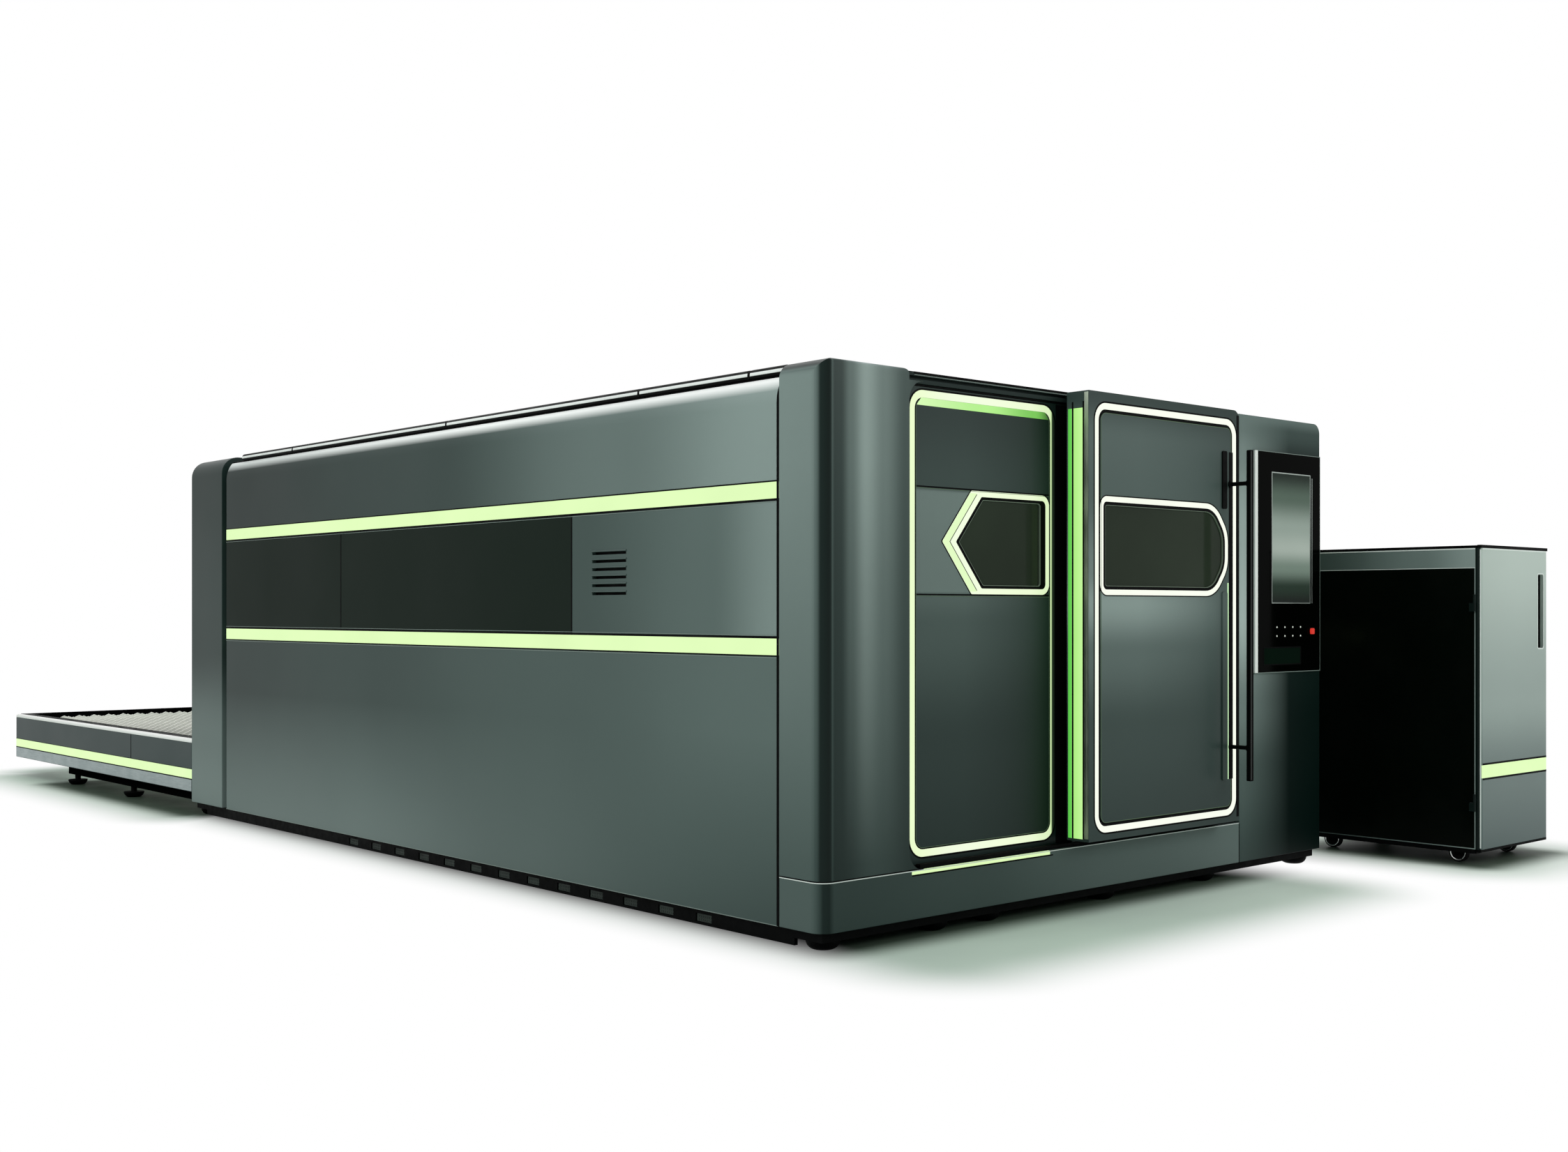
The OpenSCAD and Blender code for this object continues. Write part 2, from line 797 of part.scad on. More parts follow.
module door_frame() {
    color(black) from_corner() {
        difference() {
            block([post_r, bay_x1], [frame_y0, frame_y1], [floor_gap, header_z]);
            block([inner_leaf_x0 - leaf_gap, bay_x1 - jamb_w + jamb_lap], [frame_y0 - 1, frame_y1 + 1],
                [plinth_z + frame_rail, header_z - frame_rail]);
        }
        difference() {
            block([bay_x0 + bay_r, bay_x1], [track_y0, track_y0 + track_w], [plinth_z, plinth_z + track_h]);
            block([bay_x0 + bay_r - 1, bay_x1 + 1],
                [tongue_y - tongue_t / 2 - leaf_gap, tongue_y + tongue_t / 2 + leaf_gap],
                [track_z, plinth_z + track_h + 1]);
        }
    }
}

// Side panels, stripes, portal and roof
module left_lower_panel() {
    color(body_grey) from_corner() lower_panel();
}

module right_lower_panel() {
    color(body_grey) from_corner() translate([machine_w, 0, 0]) mirror([1, 0, 0]) lower_panel();
}

module lower_panel() {
    block([0, panel_t], [front_l, panel_y1], [floor_gap, lower_stripe_z]);
}

module centre_panel(y) {
    block([0, panel_t], y, [lower_stripe_z + stripe_h, upper_stripe_z]);
}

module left_vent_panel() {
    color(body_grey) from_corner() difference() {
        centre_panel([front_l, vent_seam_y - seam_w / 2]);
        for (i = [0:vent_slots - 1])
            translate([-1, vent_seam_y - vent_setback - vent_w, vent_z + i * vent_pitch])
                cube([panel_t + 2, vent_w, vent_slot_h]);
    }
}

module left_dark_panels() {
    color(panel_dark) from_corner() {
        centre_panel([vent_seam_y + seam_w / 2, rear_seam_y - seam_w / 2]);
        centre_panel([rear_seam_y + seam_w / 2, panel_y1]);
    }
}

module right_centre_panel() {
    color(panel_dark) from_corner() translate([machine_w, 0, 0]) mirror([1, 0, 0])
        centre_panel([front_l, panel_y1]);
}

// Straight sheet that bends inwards over a quarter shell and stops under the roof deck
module upper_panel() {
    front_plate([front_l, panel_y1]) {
        square_between([0, panel_t], [upper_stripe_z + stripe_h, shoulder_z]);
        intersection() {
            translate([shoulder_r, shoulder_z]) difference() {
                circle(shoulder_r, $fn = 96);
                circle(shoulder_in_r, $fn = 96);
            }
            square_between([0, shoulder_r], [shoulder_z, deck_z]);
        }
    }
}

module left_upper_panel() {
    color(body_grey) from_corner() upper_panel();
}

module right_upper_panel() {
    color(body_grey) from_corner() translate([machine_w, 0, 0]) mirror([1, 0, 0]) upper_panel();
}

module table_stripe_space(y) {
    block([0, light_t], y, [skirt_z + table_stripe_rise, skirt_z + table_stripe_rise + table_stripe_h]);
}

module light_stripes() {
    color(lime) from_corner() {
        both_sides(machine_w) for (z = [lower_stripe_z, upper_stripe_z])
            block([0, panel_t], [front_l, panel_y1], [z, z + stripe_h]);
        both_sides(bay_x1) for (y = skirt_parts()) table_stripe_space(y);
        sill_light_space();
    }
}

module portal_outline(inset, z0 = floor_gap) {
    rounded([inset, machine_w - inset], [z0, machine_h - inset], [0, 0, portal_r - inset, portal_r - inset]);
}

module rear_portal() {
    color(body_grey) from_corner() difference() {
        front_plate([portal_y0, machine_l]) portal_outline(0);
        front_plate([portal_y0 - 1, machine_l - portal_t]) portal_outline(portal_t, floor_gap - 1);
        block([bed_x1 - portal_lap, bay_x1 - bed_x1 + portal_lap], [portal_y0 - 1, machine_l + 1],
            [floor_gap - 1, portal_open_h]);
    }
}

module portal_seal() {
    color(black) from_corner() front_plate([panel_y1, portal_y0 + seal_lap]) difference() {
        portal_outline(portal_t);
        square_between([portal_t + seal_t, machine_w - portal_t - seal_t],
            [floor_gap - 1, machine_h - portal_t - seal_t]);
    }
}

module roof_deck() {
    color(black) from_corner()
        block([deck_x0, machine_w - deck_x0], [front_l, panel_y1], [deck_z, deck_z + deck_t]);
}

module roof_covers() {
    color(body_grey) from_corner() for (i = [0:len(cover_breaks) - 2])
        front_plate([cover_breaks[i] + cover_gap / 2, cover_breaks[i + 1] - cover_gap / 2])
            rounded([cover_x0, machine_w - cover_x0], [machine_h - cover_t, machine_h],
                [0, 0, cover_r, cover_r]);
}

// Control cabinet with its console
module control_cabinet() {
    color(body_grey) from_corner() front_plate([0, front_l])
        rounded([bay_x1, machine_w], [floor_gap, machine_h], [0, 0, cabinet_r, 0]);
}

module console_panel() {
    color(black) from_corner() difference() {
        front_plate([-console_t, 0])
            rounded([console_x0, console_x1], [console_z, console_z + console_h],
                [for (i = [0:3]) console_r]);
        screen_space();
        status_space();
        for (i = [0:7]) button_hole(button_place(i), button_r);
        button_hole([stop_x, stop_z], stop_stem_r);
    }
}

module screen_space() {
    block([screen_x0, screen_x0 + screen_w], [-console_t, screen_t - console_t],
        [screen_z0, screen_z0 + screen_h]);
}

module status_space() {
    block([status_x0, status_x0 + status_w], [-console_t, screen_t - console_t],
        [status_z0, status_z0 + status_h]);
}

module console_screen() {
    color("#7d8c80") from_corner() screen_space();
}

module status_display() {
    color("#1e3a2b") from_corner() status_space();
}

function button_place(i) = [button_x0 + (i % 4) * button_pitch[0],
    button_z0 + floor(i / 4) * button_pitch[1]];

module button_hole(place, r) {
    translate([place[0], 1, place[1]]) rotate([90, 0, 0]) cylinder(r = r + button_gap, h = console_t + 2);
}

module control_button(i) {
    place = button_place(i);
    color(white_light) from_corner()
        translate([place[0], button_l - console_t - button_proud, place[1]]) rotate([90, 0, 0])
            cylinder(r = button_r, h = button_l);
}

module control_button_1() { control_button(0); }
module control_button_2() { control_button(1); }
module control_button_3() { control_button(2); }
module control_button_4() { control_button(3); }
module control_button_5() { control_button(4); }
module control_button_6() { control_button(5); }
module control_button_7() { control_button(6); }
module control_button_8() { control_button(7); }

// Square cap on a stem that runs in the console plate
module stop_button() {
    half = stop_w / 2;
    cap_y = -console_t - stop_rest;
    color("#d0201c") from_corner() {
        front_plate([cap_y - stop_proud, cap_y]) rounded([stop_x - half, stop_x + half],
            [stop_z - half, stop_z + half], [for (i = [0:3]) stop_corner_r]);
        translate([stop_x, -stop_rest, stop_z]) rotate([90, 0, 0]) cylinder(r = stop_stem_r, h = console_t);
    }
}

// Door leaves: outlines of light rings and windows
module ring_outline(x, z, inset) {
    rounded([x[0] + inset, x[1] - inset], [z[0] + inset, z[1] - inset],
        [for (i = [0:3]) max(ring_r - inset, 1)]);
}

// Window that is pointed on the left; the frame is wider at the point
module inner_window_outline(inset, point_inset) {
    half = window_h / 2 - inset;
    slope = chevron_l / (window_h / 2);
    tip = inner_window_x[0] + point_inset * sqrt(1 + slope * slope);
    right = inner_window_x[1] - inset;
    soft_polygon([[tip, window_z], [tip + slope * half, window_z - half], [right, window_z - half],
        [right, window_z + half], [tip + slope * half, window_z + half]],
        [window_point_r / 2, window_point_r, window_r - inset, window_r - inset, window_point_r]);
}

// Window with a square left end and two slanted corners on the right
module outer_window_outline(inset) {
    left = outer_window_x[0] + inset;
    right = outer_window_x[1] - inset;
    half = window_h / 2 - inset;
    slant = atan2(outer_window_cut[1], outer_window_cut[0]);
    cut = outer_window_cut - inset * [1 - tan(slant / 2), 1 - tan((90 - slant) / 2)];
    end_r = window_r - inset;
    slant_r = window_slant_r - inset;
    soft_polygon([[left, window_z - half], [right - cut[0], window_z - half],
        [right, window_z - half + cut[1]],
        [right, window_z + half - cut[1]], [right - cut[0], window_z + half], [left, window_z + half]],
        [end_r, slant_r, slant_r, slant_r, slant_r, end_r]);
}

module inner_lights(y) {
    front_plate(y) difference() {
        ring_outline(inner_ring_x, inner_ring_z, 0);
        ring_outline(inner_ring_x, inner_ring_z, ring_w);
    }
    front_plate(y) difference() {
        inner_window_outline(0, 0);
        inner_window_outline(window_frame, chevron_w);
    }
}

module left_door() {
    face = [inner_leaf_y0, inner_leaf_y0 + light_t];
    color(panel_dark) from_corner() difference() {
        block([inner_leaf_x0, inner_leaf_x1], [inner_leaf_y0, inner_leaf_y0 + inner_leaf_t],
            [inner_leaf_z0, inner_leaf_z1]);
        inner_lights(face);
        front_plate([inner_leaf_y0 - 1, inner_leaf_y0 + inner_leaf_t + 1])
            inner_window_outline(window_frame, chevron_w);
        for (z = [window_z - window_h / 2 - seam_w, window_z + window_h / 2])
            block([inner_ring_x[0] + ring_w, inner_ring_x[1] - ring_w],
                [inner_leaf_y0 - 1, inner_leaf_y0 + leaf_seam_depth], [z, z + seam_w]);
    }
}

module left_door_lights() {
    color(white_light) from_corner() inner_lights([inner_leaf_y0, inner_leaf_y0 + light_t]);
}

module left_door_window() {
    color(glass_dark) from_corner() front_plate([inner_leaf_y0 + light_t, inner_leaf_y0 + light_t + glass_t])
        inner_window_outline(window_frame, chevron_w);
}

module outer_face_lights(y) {
    front_plate(y) difference() {
        ring_outline(outer_ring_x, outer_ring_z, 0);
        ring_outline(outer_ring_x, outer_ring_z, outer_ring_w);
    }
    front_plate(y) difference() {
        outer_window_outline(0);
        outer_window_outline(window_frame);
    }
}

// Wide and narrow light strip on the leading edge of the outer leaf
module outer_edge_lights() {
    z = [outer_leaf_z0 + edge_light_ends[0], outer_leaf_z1 - edge_light_ends[1]];
    for (y = [edge_light_y, edge_line_y])
        block([outer_leaf_x0, outer_leaf_x0 + side_light_x], [outer_leaf_y0 + y[0], outer_leaf_y0 + y[1]], z);
}

module right_door() {
    color(panel_dark) from_corner() {
        difference() {
            front_plate([outer_leaf_y0, outer_leaf_y1])
                rounded([outer_leaf_x0, outer_leaf_x1], [outer_leaf_z0, outer_leaf_z1],
                    [0, 0, outer_leaf_r, 0]);
            outer_face_lights([outer_leaf_y0, outer_leaf_y0 + light_t]);
            outer_edge_lights();
            front_plate([outer_leaf_y0 - 1, outer_leaf_y1 + 1]) outer_window_outline(window_frame);
            front_plate([outer_leaf_y0, outer_leaf_y0 + ring_gap_depth]) difference() {
                ring_outline(outer_ring_x, outer_ring_z, outer_ring_w);
                ring_outline(outer_ring_x, outer_ring_z, outer_ring_w + ring_gap);
            }
        }
        for (x = [outer_leaf_x0 + shoe_inset, outer_leaf_x1 - shoe_inset - shoe_w]) {
            side_plate([x, x + shoe_w]) {
                square_between([outer_leaf_y1 + seat_gap, tongue_y + tongue_t / 2],
                    [shoe_z, shoe_z + shoe_h]);
                square_between([tongue_y - tongue_t / 2, tongue_y + tongue_t / 2],
                    [track_z + leaf_gap, shoe_z]);
            }
            block([x, x + shoe_w], [outer_leaf_y1 + seat_gap, header_set + hanger_depth - leaf_gap],
                [hanger_z - hanger_h / 2 + leaf_gap, hanger_z + hanger_h / 2 - leaf_gap]);
        }
    }
}

module right_door_lights() {
    color(white_light) from_corner() {
        outer_face_lights([outer_leaf_y0, outer_leaf_y0 + light_t]);
        outer_edge_lights();
    }
}

module right_door_window() {
    color(glass_dark) from_corner() front_plate([outer_leaf_y0 + light_t, outer_leaf_y0 + light_t + glass_t])
        outer_window_outline(window_frame);
}

module right_door_handle() {
    color(black) from_corner() {
        front_plate([handle_y0, handle_y1])
            rounded([handle_x - handle_w / 2, handle_x + handle_w / 2], [handle_z, handle_z + handle_l],
                [for (i = [0:3]) bar_r]);
        for (z = [handle_z + standoff_inset, handle_z + handle_l - standoff_inset])
            translate([handle_x, outer_leaf_y0, z]) rotate([90, 0, 0])
                cylinder(r = standoff_r, h = handle_gap - seat_gap);
        for (z = [[handle_z, window_z - strip_clear], [window_z + strip_clear, handle_z + handle_l]])
            front_plate([outer_leaf_y0 - strip_t, outer_leaf_y0])
                rounded([strip_x - strip_w / 2, strip_x + strip_w / 2], z, [for (i = [0:3]) strip_r]);
    }
}

// Cutting axes
module gantry_beam() {
    color(steel) from_corner() {
        difference() {
            block([bed_x0, bay_x1 - bed_x0], [gantry_y0, gantry_y0 + gantry_d], [gantry_z0, gantry_z1]);
            for (i = [0:gantry_holes - 1])
                translate([mid_x + (i - (gantry_holes - 1) / 2) * gantry_hole_pitch, gantry_y0 - 1,
                    gantry_z0 + gantry_h / 2])
                    rotate([-90, 0, 0]) cylinder(r = gantry_h / 4, h = gantry_d + 2);
        }
        both_sides(bay_x1) difference() {
            block([rail_x - saddle_w / 2, rail_x + saddle_w / 2],
                [gantry_y - saddle_l / 2, gantry_y + saddle_l / 2], [saddle_z0, gantry_z0]);
            block([rail_x - rail_w / 2 - axis_gap, rail_x + rail_w / 2 + axis_gap],
                [gantry_y - saddle_l, gantry_y + saddle_l], [saddle_z0 - 1, rail_top + axis_gap]);
        }
        for (z = [gantry_z0 + beam_rail_inset, gantry_z1 - beam_rail_inset - beam_rail[1]])
            block([bed_x1, bay_x1 - bed_x1], [gantry_y0 - beam_rail[0], gantry_y0], [z, z + beam_rail[1]]);
    }
}

module head_carriage() {
    low = gantry_z0 + beam_rail_inset - axis_gap;
    high = gantry_z1 - beam_rail_inset + axis_gap;
    x = [mid_x - carriage_w / 2, mid_x + carriage_w / 2];
    color(body_grey) from_corner() {
        block(x, [carriage_y0, carriage_y1], [low - jaw_h, high + jaw_h]);
        block(x, [carriage_y1, carriage_y1 + beam_rail[0] - jaw_gap], [low - jaw_h, low]);
        block(x, [carriage_y1, carriage_y1 + beam_rail[0] - jaw_gap], [high, high + jaw_h]);
        for (side = [-1, 1])
            translate([mid_x + side * head_rail_x - head_rail[0] / 2, carriage_y0 - head_rail[1],
                low - jaw_h])
                cube([head_rail[0], head_rail[1], high - low + 2 * jaw_h]);
    }
}

module cutting_head() {
    half = head_rail_x + head_rail[0] / 2 + axis_gap;
    plate_z = [gantry_z0 + head_plate_inset, gantry_z1 - head_plate_inset];
    color("#d9dcda") from_corner() {
        block([mid_x - half - head_cheek, mid_x + half + head_cheek], [head_y0, head_y1], plate_z);
        for (x = [mid_x - half - head_cheek, mid_x + half])
            block([x, x + head_cheek], [head_y1, head_y1 + head_rail[1] - jaw_gap], plate_z);
        translate([mid_x, head_axis_y, head_tip_z]) {
            for (step = head_steps) translate([0, 0, step[0]])
                cylinder(r1 = head_r * step[2], r2 = head_r * step[3], h = step[1]);
        }
    }
}

module laser_source() {
    y = [laser_y0, laser_y0 + laser_box[1]];
    color("#3c4442") from_corner() difference() {
        block([laser_x0, laser_x0 + laser_box[0]], y, [floor_gap, floor_gap + laser_box[2]]);
        for (i = [0:laser_vents - 1])
            translate([laser_x0 - 1, y[0] + laser_vent_margin,
                floor_gap + laser_vent_rise + i * laser_vent_pitch])
                cube([laser_vent[0] + 1, y[1] - y[0] - 2 * laser_vent_margin, laser_vent[1]]);
    }
}

// Exchange table and pallets
function skirt_parts() = [[table_y0, machine_l + skirt_seam - seam_w / 2],
    [machine_l + skirt_seam + seam_w / 2, set_y1]];

module table_frame() {
    color(black) from_corner() {
        both_sides(bay_x1) {
            block([skirt_t, bed_x1], [table_y0, table_beam_y1], [skirt_z, rim_z - rim_h]);
            block([rim_w, bed_x1], [table_y0, table_beam_y1], [rim_z - rim_h, rim_z - side_beam_drop]);
            pallet_ledges(bed_x1, [table_y0, table_beam_y1 - end_beam_w]);
            block(under_beam, [table_y0, machine_l + table_feet_y[1] + under_lead],
                [under_z, skirt_z - seat_gap]);
        }
        difference() {
            block([bed_x1, bay_x1 - bed_x1], [table_beam_y1 - end_beam_w, table_beam_y1],
                [skirt_z, rim_z - end_beam_drop]);
            for (i = [0:notches - 1])
                translate([mid_x + (i - (notches - 1) / 2) * notch_pitch - notch[0] / 2,
                    table_beam_y1 - end_beam_w - 1, rim_z - notch[1]])
                    cube([notch[0], end_beam_w + 2, notch[1]]);
        }
        for (y = table_tie_y)
            block([bed_x1, bay_x1 - bed_x1], [y, y + tie_w], [skirt_z, lower_level - ledge_t]);
    }
}

module table_skirt() {
    color(body_grey) from_corner() {
        both_sides(bay_x1) difference() {
            for (y = skirt_parts()) block([0, skirt_t], y, [skirt_z, rim_z - rim_h]);
            table_stripe_space([table_y0, set_y1]);
        }
        block([skirt_t, bay_x1 - skirt_t], [table_beam_y1, set_y1], [skirt_z, rim_z - rim_h]);
    }
}

module table_rim() {
    color("#eef0ec") from_corner() both_sides(bay_x1) front_plate([table_y0, set_y1])
        rounded([0, rim_w], [rim_z - rim_h, rim_z], [0, 0, 0, rim_r]);
}

// One slat: a strip with a saw-tooth upper edge, drawn along its length
module slat(length) {
    teeth = floor(length / tooth_pitch);
    margin = (length - teeth * tooth_pitch) / 2;
    valley = pallet_h + slat_rise - tooth_h;
    polygon(concat([[0, slat_foot], [length, slat_foot], [length, valley]],
        [for (i = [teeth:-1:0], p = [0, 1]) if (i > 0 || p == 0)
            [margin + (i - p / 2) * tooth_pitch, p == 0 ? valley : pallet_h + slat_rise]],
        [[0, valley]]));
}

module pallet(y0, level) {
    slats = floor((pallet_l - 2 * pallet_rail_w - slat_pitch) / slat_pitch);
    length = pallet_w - 2 * pallet_rail_w;
    first = (pallet_l - slats * slat_pitch) / 2;
    translate([pallet_x0, y0, level]) {
        difference() {
            cube([pallet_w, pallet_l, pallet_h]);
            translate([pallet_rail_w, pallet_rail_w, -1])
                cube([length, pallet_l - 2 * pallet_rail_w, pallet_h + 2]);
        }
        translate([(pallet_w - pallet_rail_w) / 2, pallet_rail_w, 0])
            cube([pallet_rail_w, pallet_l - 2 * pallet_rail_w, spine_h]);
        for (i = [0:slats]) translate([pallet_rail_w, first + i * slat_pitch + slat_t / 2, 0])
            rotate([90, 0, 0]) linear_extrude(slat_t) slat(length);
    }
}

module upper_pallet() {
    color("#d9dcd0") from_corner() pallet(pallet_y0, upper_level);
}

module lower_pallet() {
    color("#d9dcd0") from_corner() pallet(pallet_in_y, lower_level);
}

// Cooling unit
module chiller_cabinet() {
    x = [chiller_x0, chiller_x1];
    inner_x = [chiller_x0 + chiller_wall, chiller_x1 - chiller_wall];
    inner_y1 = chiller_y1 - chiller_wall;
    color(black) from_corner() difference() {
        translate([0, 0, chiller_z]) linear_extrude(chiller_h - chiller_z)
            rounded(x, [chiller_body_y0, chiller_y1], [0, 0, chiller_r, chiller_r]);
        block(inner_x, [chiller_body_y0 + chiller_wall, inner_y1], [chiller_z - 1, chiller_pan_z]);
        block(inner_x, [chiller_body_y0 - 1, inner_y1], chiller_bay_z);
        both_sides(x[0] + x[1]) block([x[0] - 1, x[0] + chiller_inset],
            [chiller_body_y0 + chiller_lip, chiller_y1 - chiller_r - chiller_lip],
            [chiller_z + chiller_lip, chiller_h - chiller_band]);
        for (p = caster_places()) translate([p[0], p[1], chiller_pan_z - 1])
            cylinder(r = stem_r + pin_gap, h = stem_l + 2);
        for (i = [0:chiller_vents - 1])
            translate([x[0] + chiller_vent_margin, inner_y1 - 1, chiller_vent_z + i * chiller_vent_pitch])
                cube([chiller_w - 2 * chiller_vent_margin, chiller_wall + 2, chiller_vent_h]);
    }
    color(steel) from_corner() translate([0, 0, chiller_bay_z[0]]) {
        linear_extrude(tank[2]) rounded([inner_x[0] + tank_inset, inner_x[0] + tank_inset + tank[0]],
            [inner_y1 - tank_inset - tank[1], inner_y1 - tank_inset], [tank_r, tank_r, tank_r, tank_r]);
        translate([inner_x[1] - compressor_r - tank_inset / 2, inner_y1 - tank_inset - tank[1] / 2, 0])
            rotate_extrude() {
                square([compressor_r, compressor_h - compressor_dome_r]);
                square([compressor_r - compressor_dome_r, compressor_h]);
                intersection() {
                    translate([compressor_r - compressor_dome_r, compressor_h - compressor_dome_r])
                        circle(compressor_dome_r);
                    translate([compressor_r - compressor_dome_r, compressor_h - compressor_dome_r])
                        square(compressor_dome_r);
                }
            }
    }
    color(black) from_corner() for (z = hinge_z) {
        difference() {
            block([chiller_x0 - hinge_out - knuckle_r, chiller_x0 + chiller_inset],
                [chiller_body_y0 + leaf_seat, chiller_body_y0 + hinge_leaf_l], [z - knuckle_h, z]);
            translate([chiller_x0 - hinge_out, chiller_body_y0, z - knuckle_h - 1])
                cylinder(r = knuckle_r - knuckle_clear, h = knuckle_h + 2);
        }
        translate([chiller_x0 - hinge_out, chiller_body_y0, z - knuckle_h]) {
            cylinder(r = knuckle_r, h = knuckle_h);
            cylinder(r = hinge_pin_r, h = 2 * knuckle_h - pin_short);
        }
    }
}

module chiller_door() {
    x = [chiller_x0, chiller_x1];
    color(body_grey) from_corner() {
        difference() {
            translate([0, 0, chiller_z]) linear_extrude(chiller_h - chiller_z) chiller_door_plan();
            block(grip_x, [chiller_y0 - 1, chiller_y0 + grip_depth], [grip_z, grip_z + grip_h]);
            block([x[0] + door_pocket[0], grip_x[0] - door_pocket[1]],
                [chiller_y0 + door_pocket[1], chiller_body_y0 + 1],
                [chiller_z + door_pocket[0], chiller_h - door_pocket[0]]);
            stripe_space();
        }
        for (z = hinge_z) difference() {
            union() {
                translate([chiller_x0 - hinge_out, chiller_body_y0, z + leaf_seat])
                    cylinder(r = knuckle_r, h = knuckle_h);
                block([chiller_x0 - hinge_out, chiller_x0 + hinge_tail],
                    [chiller_body_y0 - knuckle_r, chiller_body_y0 - leaf_seat],
                    [z + leaf_seat, z + leaf_seat + knuckle_h]);
            }
            translate([chiller_x0 - hinge_out, chiller_body_y0, z - 1])
                cylinder(r = hinge_pin_r + pin_gap, h = knuckle_h + 4);
        }
    }
}

module stripe_space() {
    block([chiller_x0, chiller_x1], [chiller_y0, chiller_y0 + stripe_t],
        [chiller_stripe_z, chiller_stripe_z + chiller_stripe_h]);
}

// Strip let into the door, rounded at its ends with the door's edges
module chiller_stripe() {
    color(lime) from_corner() intersection() {
        stripe_space();
        translate([0, 0, chiller_stripe_z]) linear_extrude(chiller_stripe_h) chiller_door_plan();
    }
}

module chiller_door_plan() {
    rounded([chiller_x0, chiller_x1], [chiller_y0, chiller_body_y0 - leaf_seat],
        [door_edge_r, door_edge_r, 0, 0]);
}

function caster_places() = [for (y = [chiller_body_y0 + caster_inset, chiller_y1 - caster_inset],
    x = [chiller_x0 + caster_inset, chiller_x1 - caster_inset]) [x, y]];

module caster_fork(i) {
    p = caster_places()[i];
    leg_x = wheel_w / 2 + wheel_side_gap;
    plate_z = chiller_pan_z - caster_clear - caster_plate_t;
    color(steel) from_corner() translate([p[0], p[1], 0]) {
        translate([0, 0, plate_z]) cylinder(r = caster_plate_r, h = caster_plate_t);
        translate([0, 0, chiller_pan_z - 1]) cylinder(r = stem_r, h = stem_l);
        for (side = [-1, 1]) {
            side_plate(side > 0 ? [leg_x, leg_x + fork_t] : [-leg_x - fork_t, -leg_x])
                square_between([-fork_lead[0], trail + fork_margin], [wheel_r - fork_margin, plate_z]);
        }
        block([-leg_x - fork_t, leg_x + fork_t], [-fork_lead[1], trail + fork_margin],
            [chiller_pan_z - fork_margin - caster_plate_t, plate_z]);
        translate([-leg_x - fork_t, trail, wheel_r]) rotate([0, 90, 0])
            cylinder(r = axle_r, h = 2 * (leg_x + fork_t));
    }
}

module caster_wheel(i) {
    p = caster_places()[i];
    color(black) from_corner() translate([p[0] - wheel_w / 2, p[1] + trail, wheel_r]) rotate([0, 90, 0])
        difference() {
            cylinder(r = wheel_r, h = wheel_w);
            translate([0, 0, -1]) cylinder(r = axle_r + pin_gap, h = wheel_w + 2);
        }
}

module caster_fork_1() { caster_fork(0); }
module caster_fork_2() { caster_fork(1); }
module caster_fork_3() { caster_fork(2); }
module caster_fork_4() { caster_fork(3); }
module caster_wheel_1() { caster_wheel(0); }
module caster_wheel_2() { caster_wheel(1); }
module caster_wheel_3() { caster_wheel(2); }
module caster_wheel_4() { caster_wheel(3); }

base_pan();
levelling_feet();
bed_frame();
guide_rails();
front_plinth();
front_post();
front_header();
door_frame();
light_stripes();
left_lower_panel();
left_vent_panel();
left_dark_panels();
left_upper_panel();
right_lower_panel();
right_centre_panel();
right_upper_panel();
rear_portal();
portal_seal();
roof_deck();
roof_covers();
control_cabinet();
console_panel();
console_screen();
status_display();
control_button_1();
control_button_2();
control_button_3();
control_button_4();
control_button_5();
control_button_6();
control_button_7();
control_button_8();
stop_button();
left_door();
left_door_window();
left_door_lights();
right_door();
right_door_window();
right_door_lights();
right_door_handle();
gantry_beam();
head_carriage();
cutting_head();
laser_source();
table_frame();
table_skirt();
table_rim();
upper_pallet();
lower_pallet();
chiller_cabinet();
chiller_door();
chiller_stripe();
caster_fork_1();
caster_fork_2();
caster_fork_3();
caster_fork_4();
caster_wheel_1();
caster_wheel_2();
caster_wheel_3();
caster_wheel_4();
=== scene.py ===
import math
import bpy
import bmesh
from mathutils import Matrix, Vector


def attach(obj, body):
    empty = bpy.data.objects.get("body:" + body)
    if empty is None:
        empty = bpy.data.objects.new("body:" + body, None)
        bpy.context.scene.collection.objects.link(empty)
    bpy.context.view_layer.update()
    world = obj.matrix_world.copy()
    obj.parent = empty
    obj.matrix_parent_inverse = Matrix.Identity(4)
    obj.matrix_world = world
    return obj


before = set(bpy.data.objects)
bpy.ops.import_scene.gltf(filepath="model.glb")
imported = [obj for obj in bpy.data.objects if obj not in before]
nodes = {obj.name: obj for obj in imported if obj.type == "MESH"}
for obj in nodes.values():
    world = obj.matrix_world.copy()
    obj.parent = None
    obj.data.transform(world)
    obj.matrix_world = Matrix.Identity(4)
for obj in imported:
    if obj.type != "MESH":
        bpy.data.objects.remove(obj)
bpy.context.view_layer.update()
scene = bpy.context.scene
scene.view_settings.view_transform = "Standard"

# Shapes are given in the CAD's corner frame: millimetres from the machine's front left corner on the floor.
# Materials, camera and lights use the frame's own metres.
ORIGIN = Vector((2206.0, 4102.0, 0.0))
MM_PER_M = 1000.0


def at(x, y, z):
    """A corner-frame point in the frame's metres."""
    return (Vector((x, y, z)) - ORIGIN) / MM_PER_M


def linear(rgb):
    """An 8-bit sRGB colour as the linear colour that shaders take."""
    out = []
    for c in rgb:
        c = c / 255.0
        out.append(c / 12.92 if c <= 0.04045 else ((c + 0.055) / 1.055) ** 2.4)
    return (*out, 1.0)


def even(level):
    """A grey of one linear level."""
    return (level, level, level, 1.0)


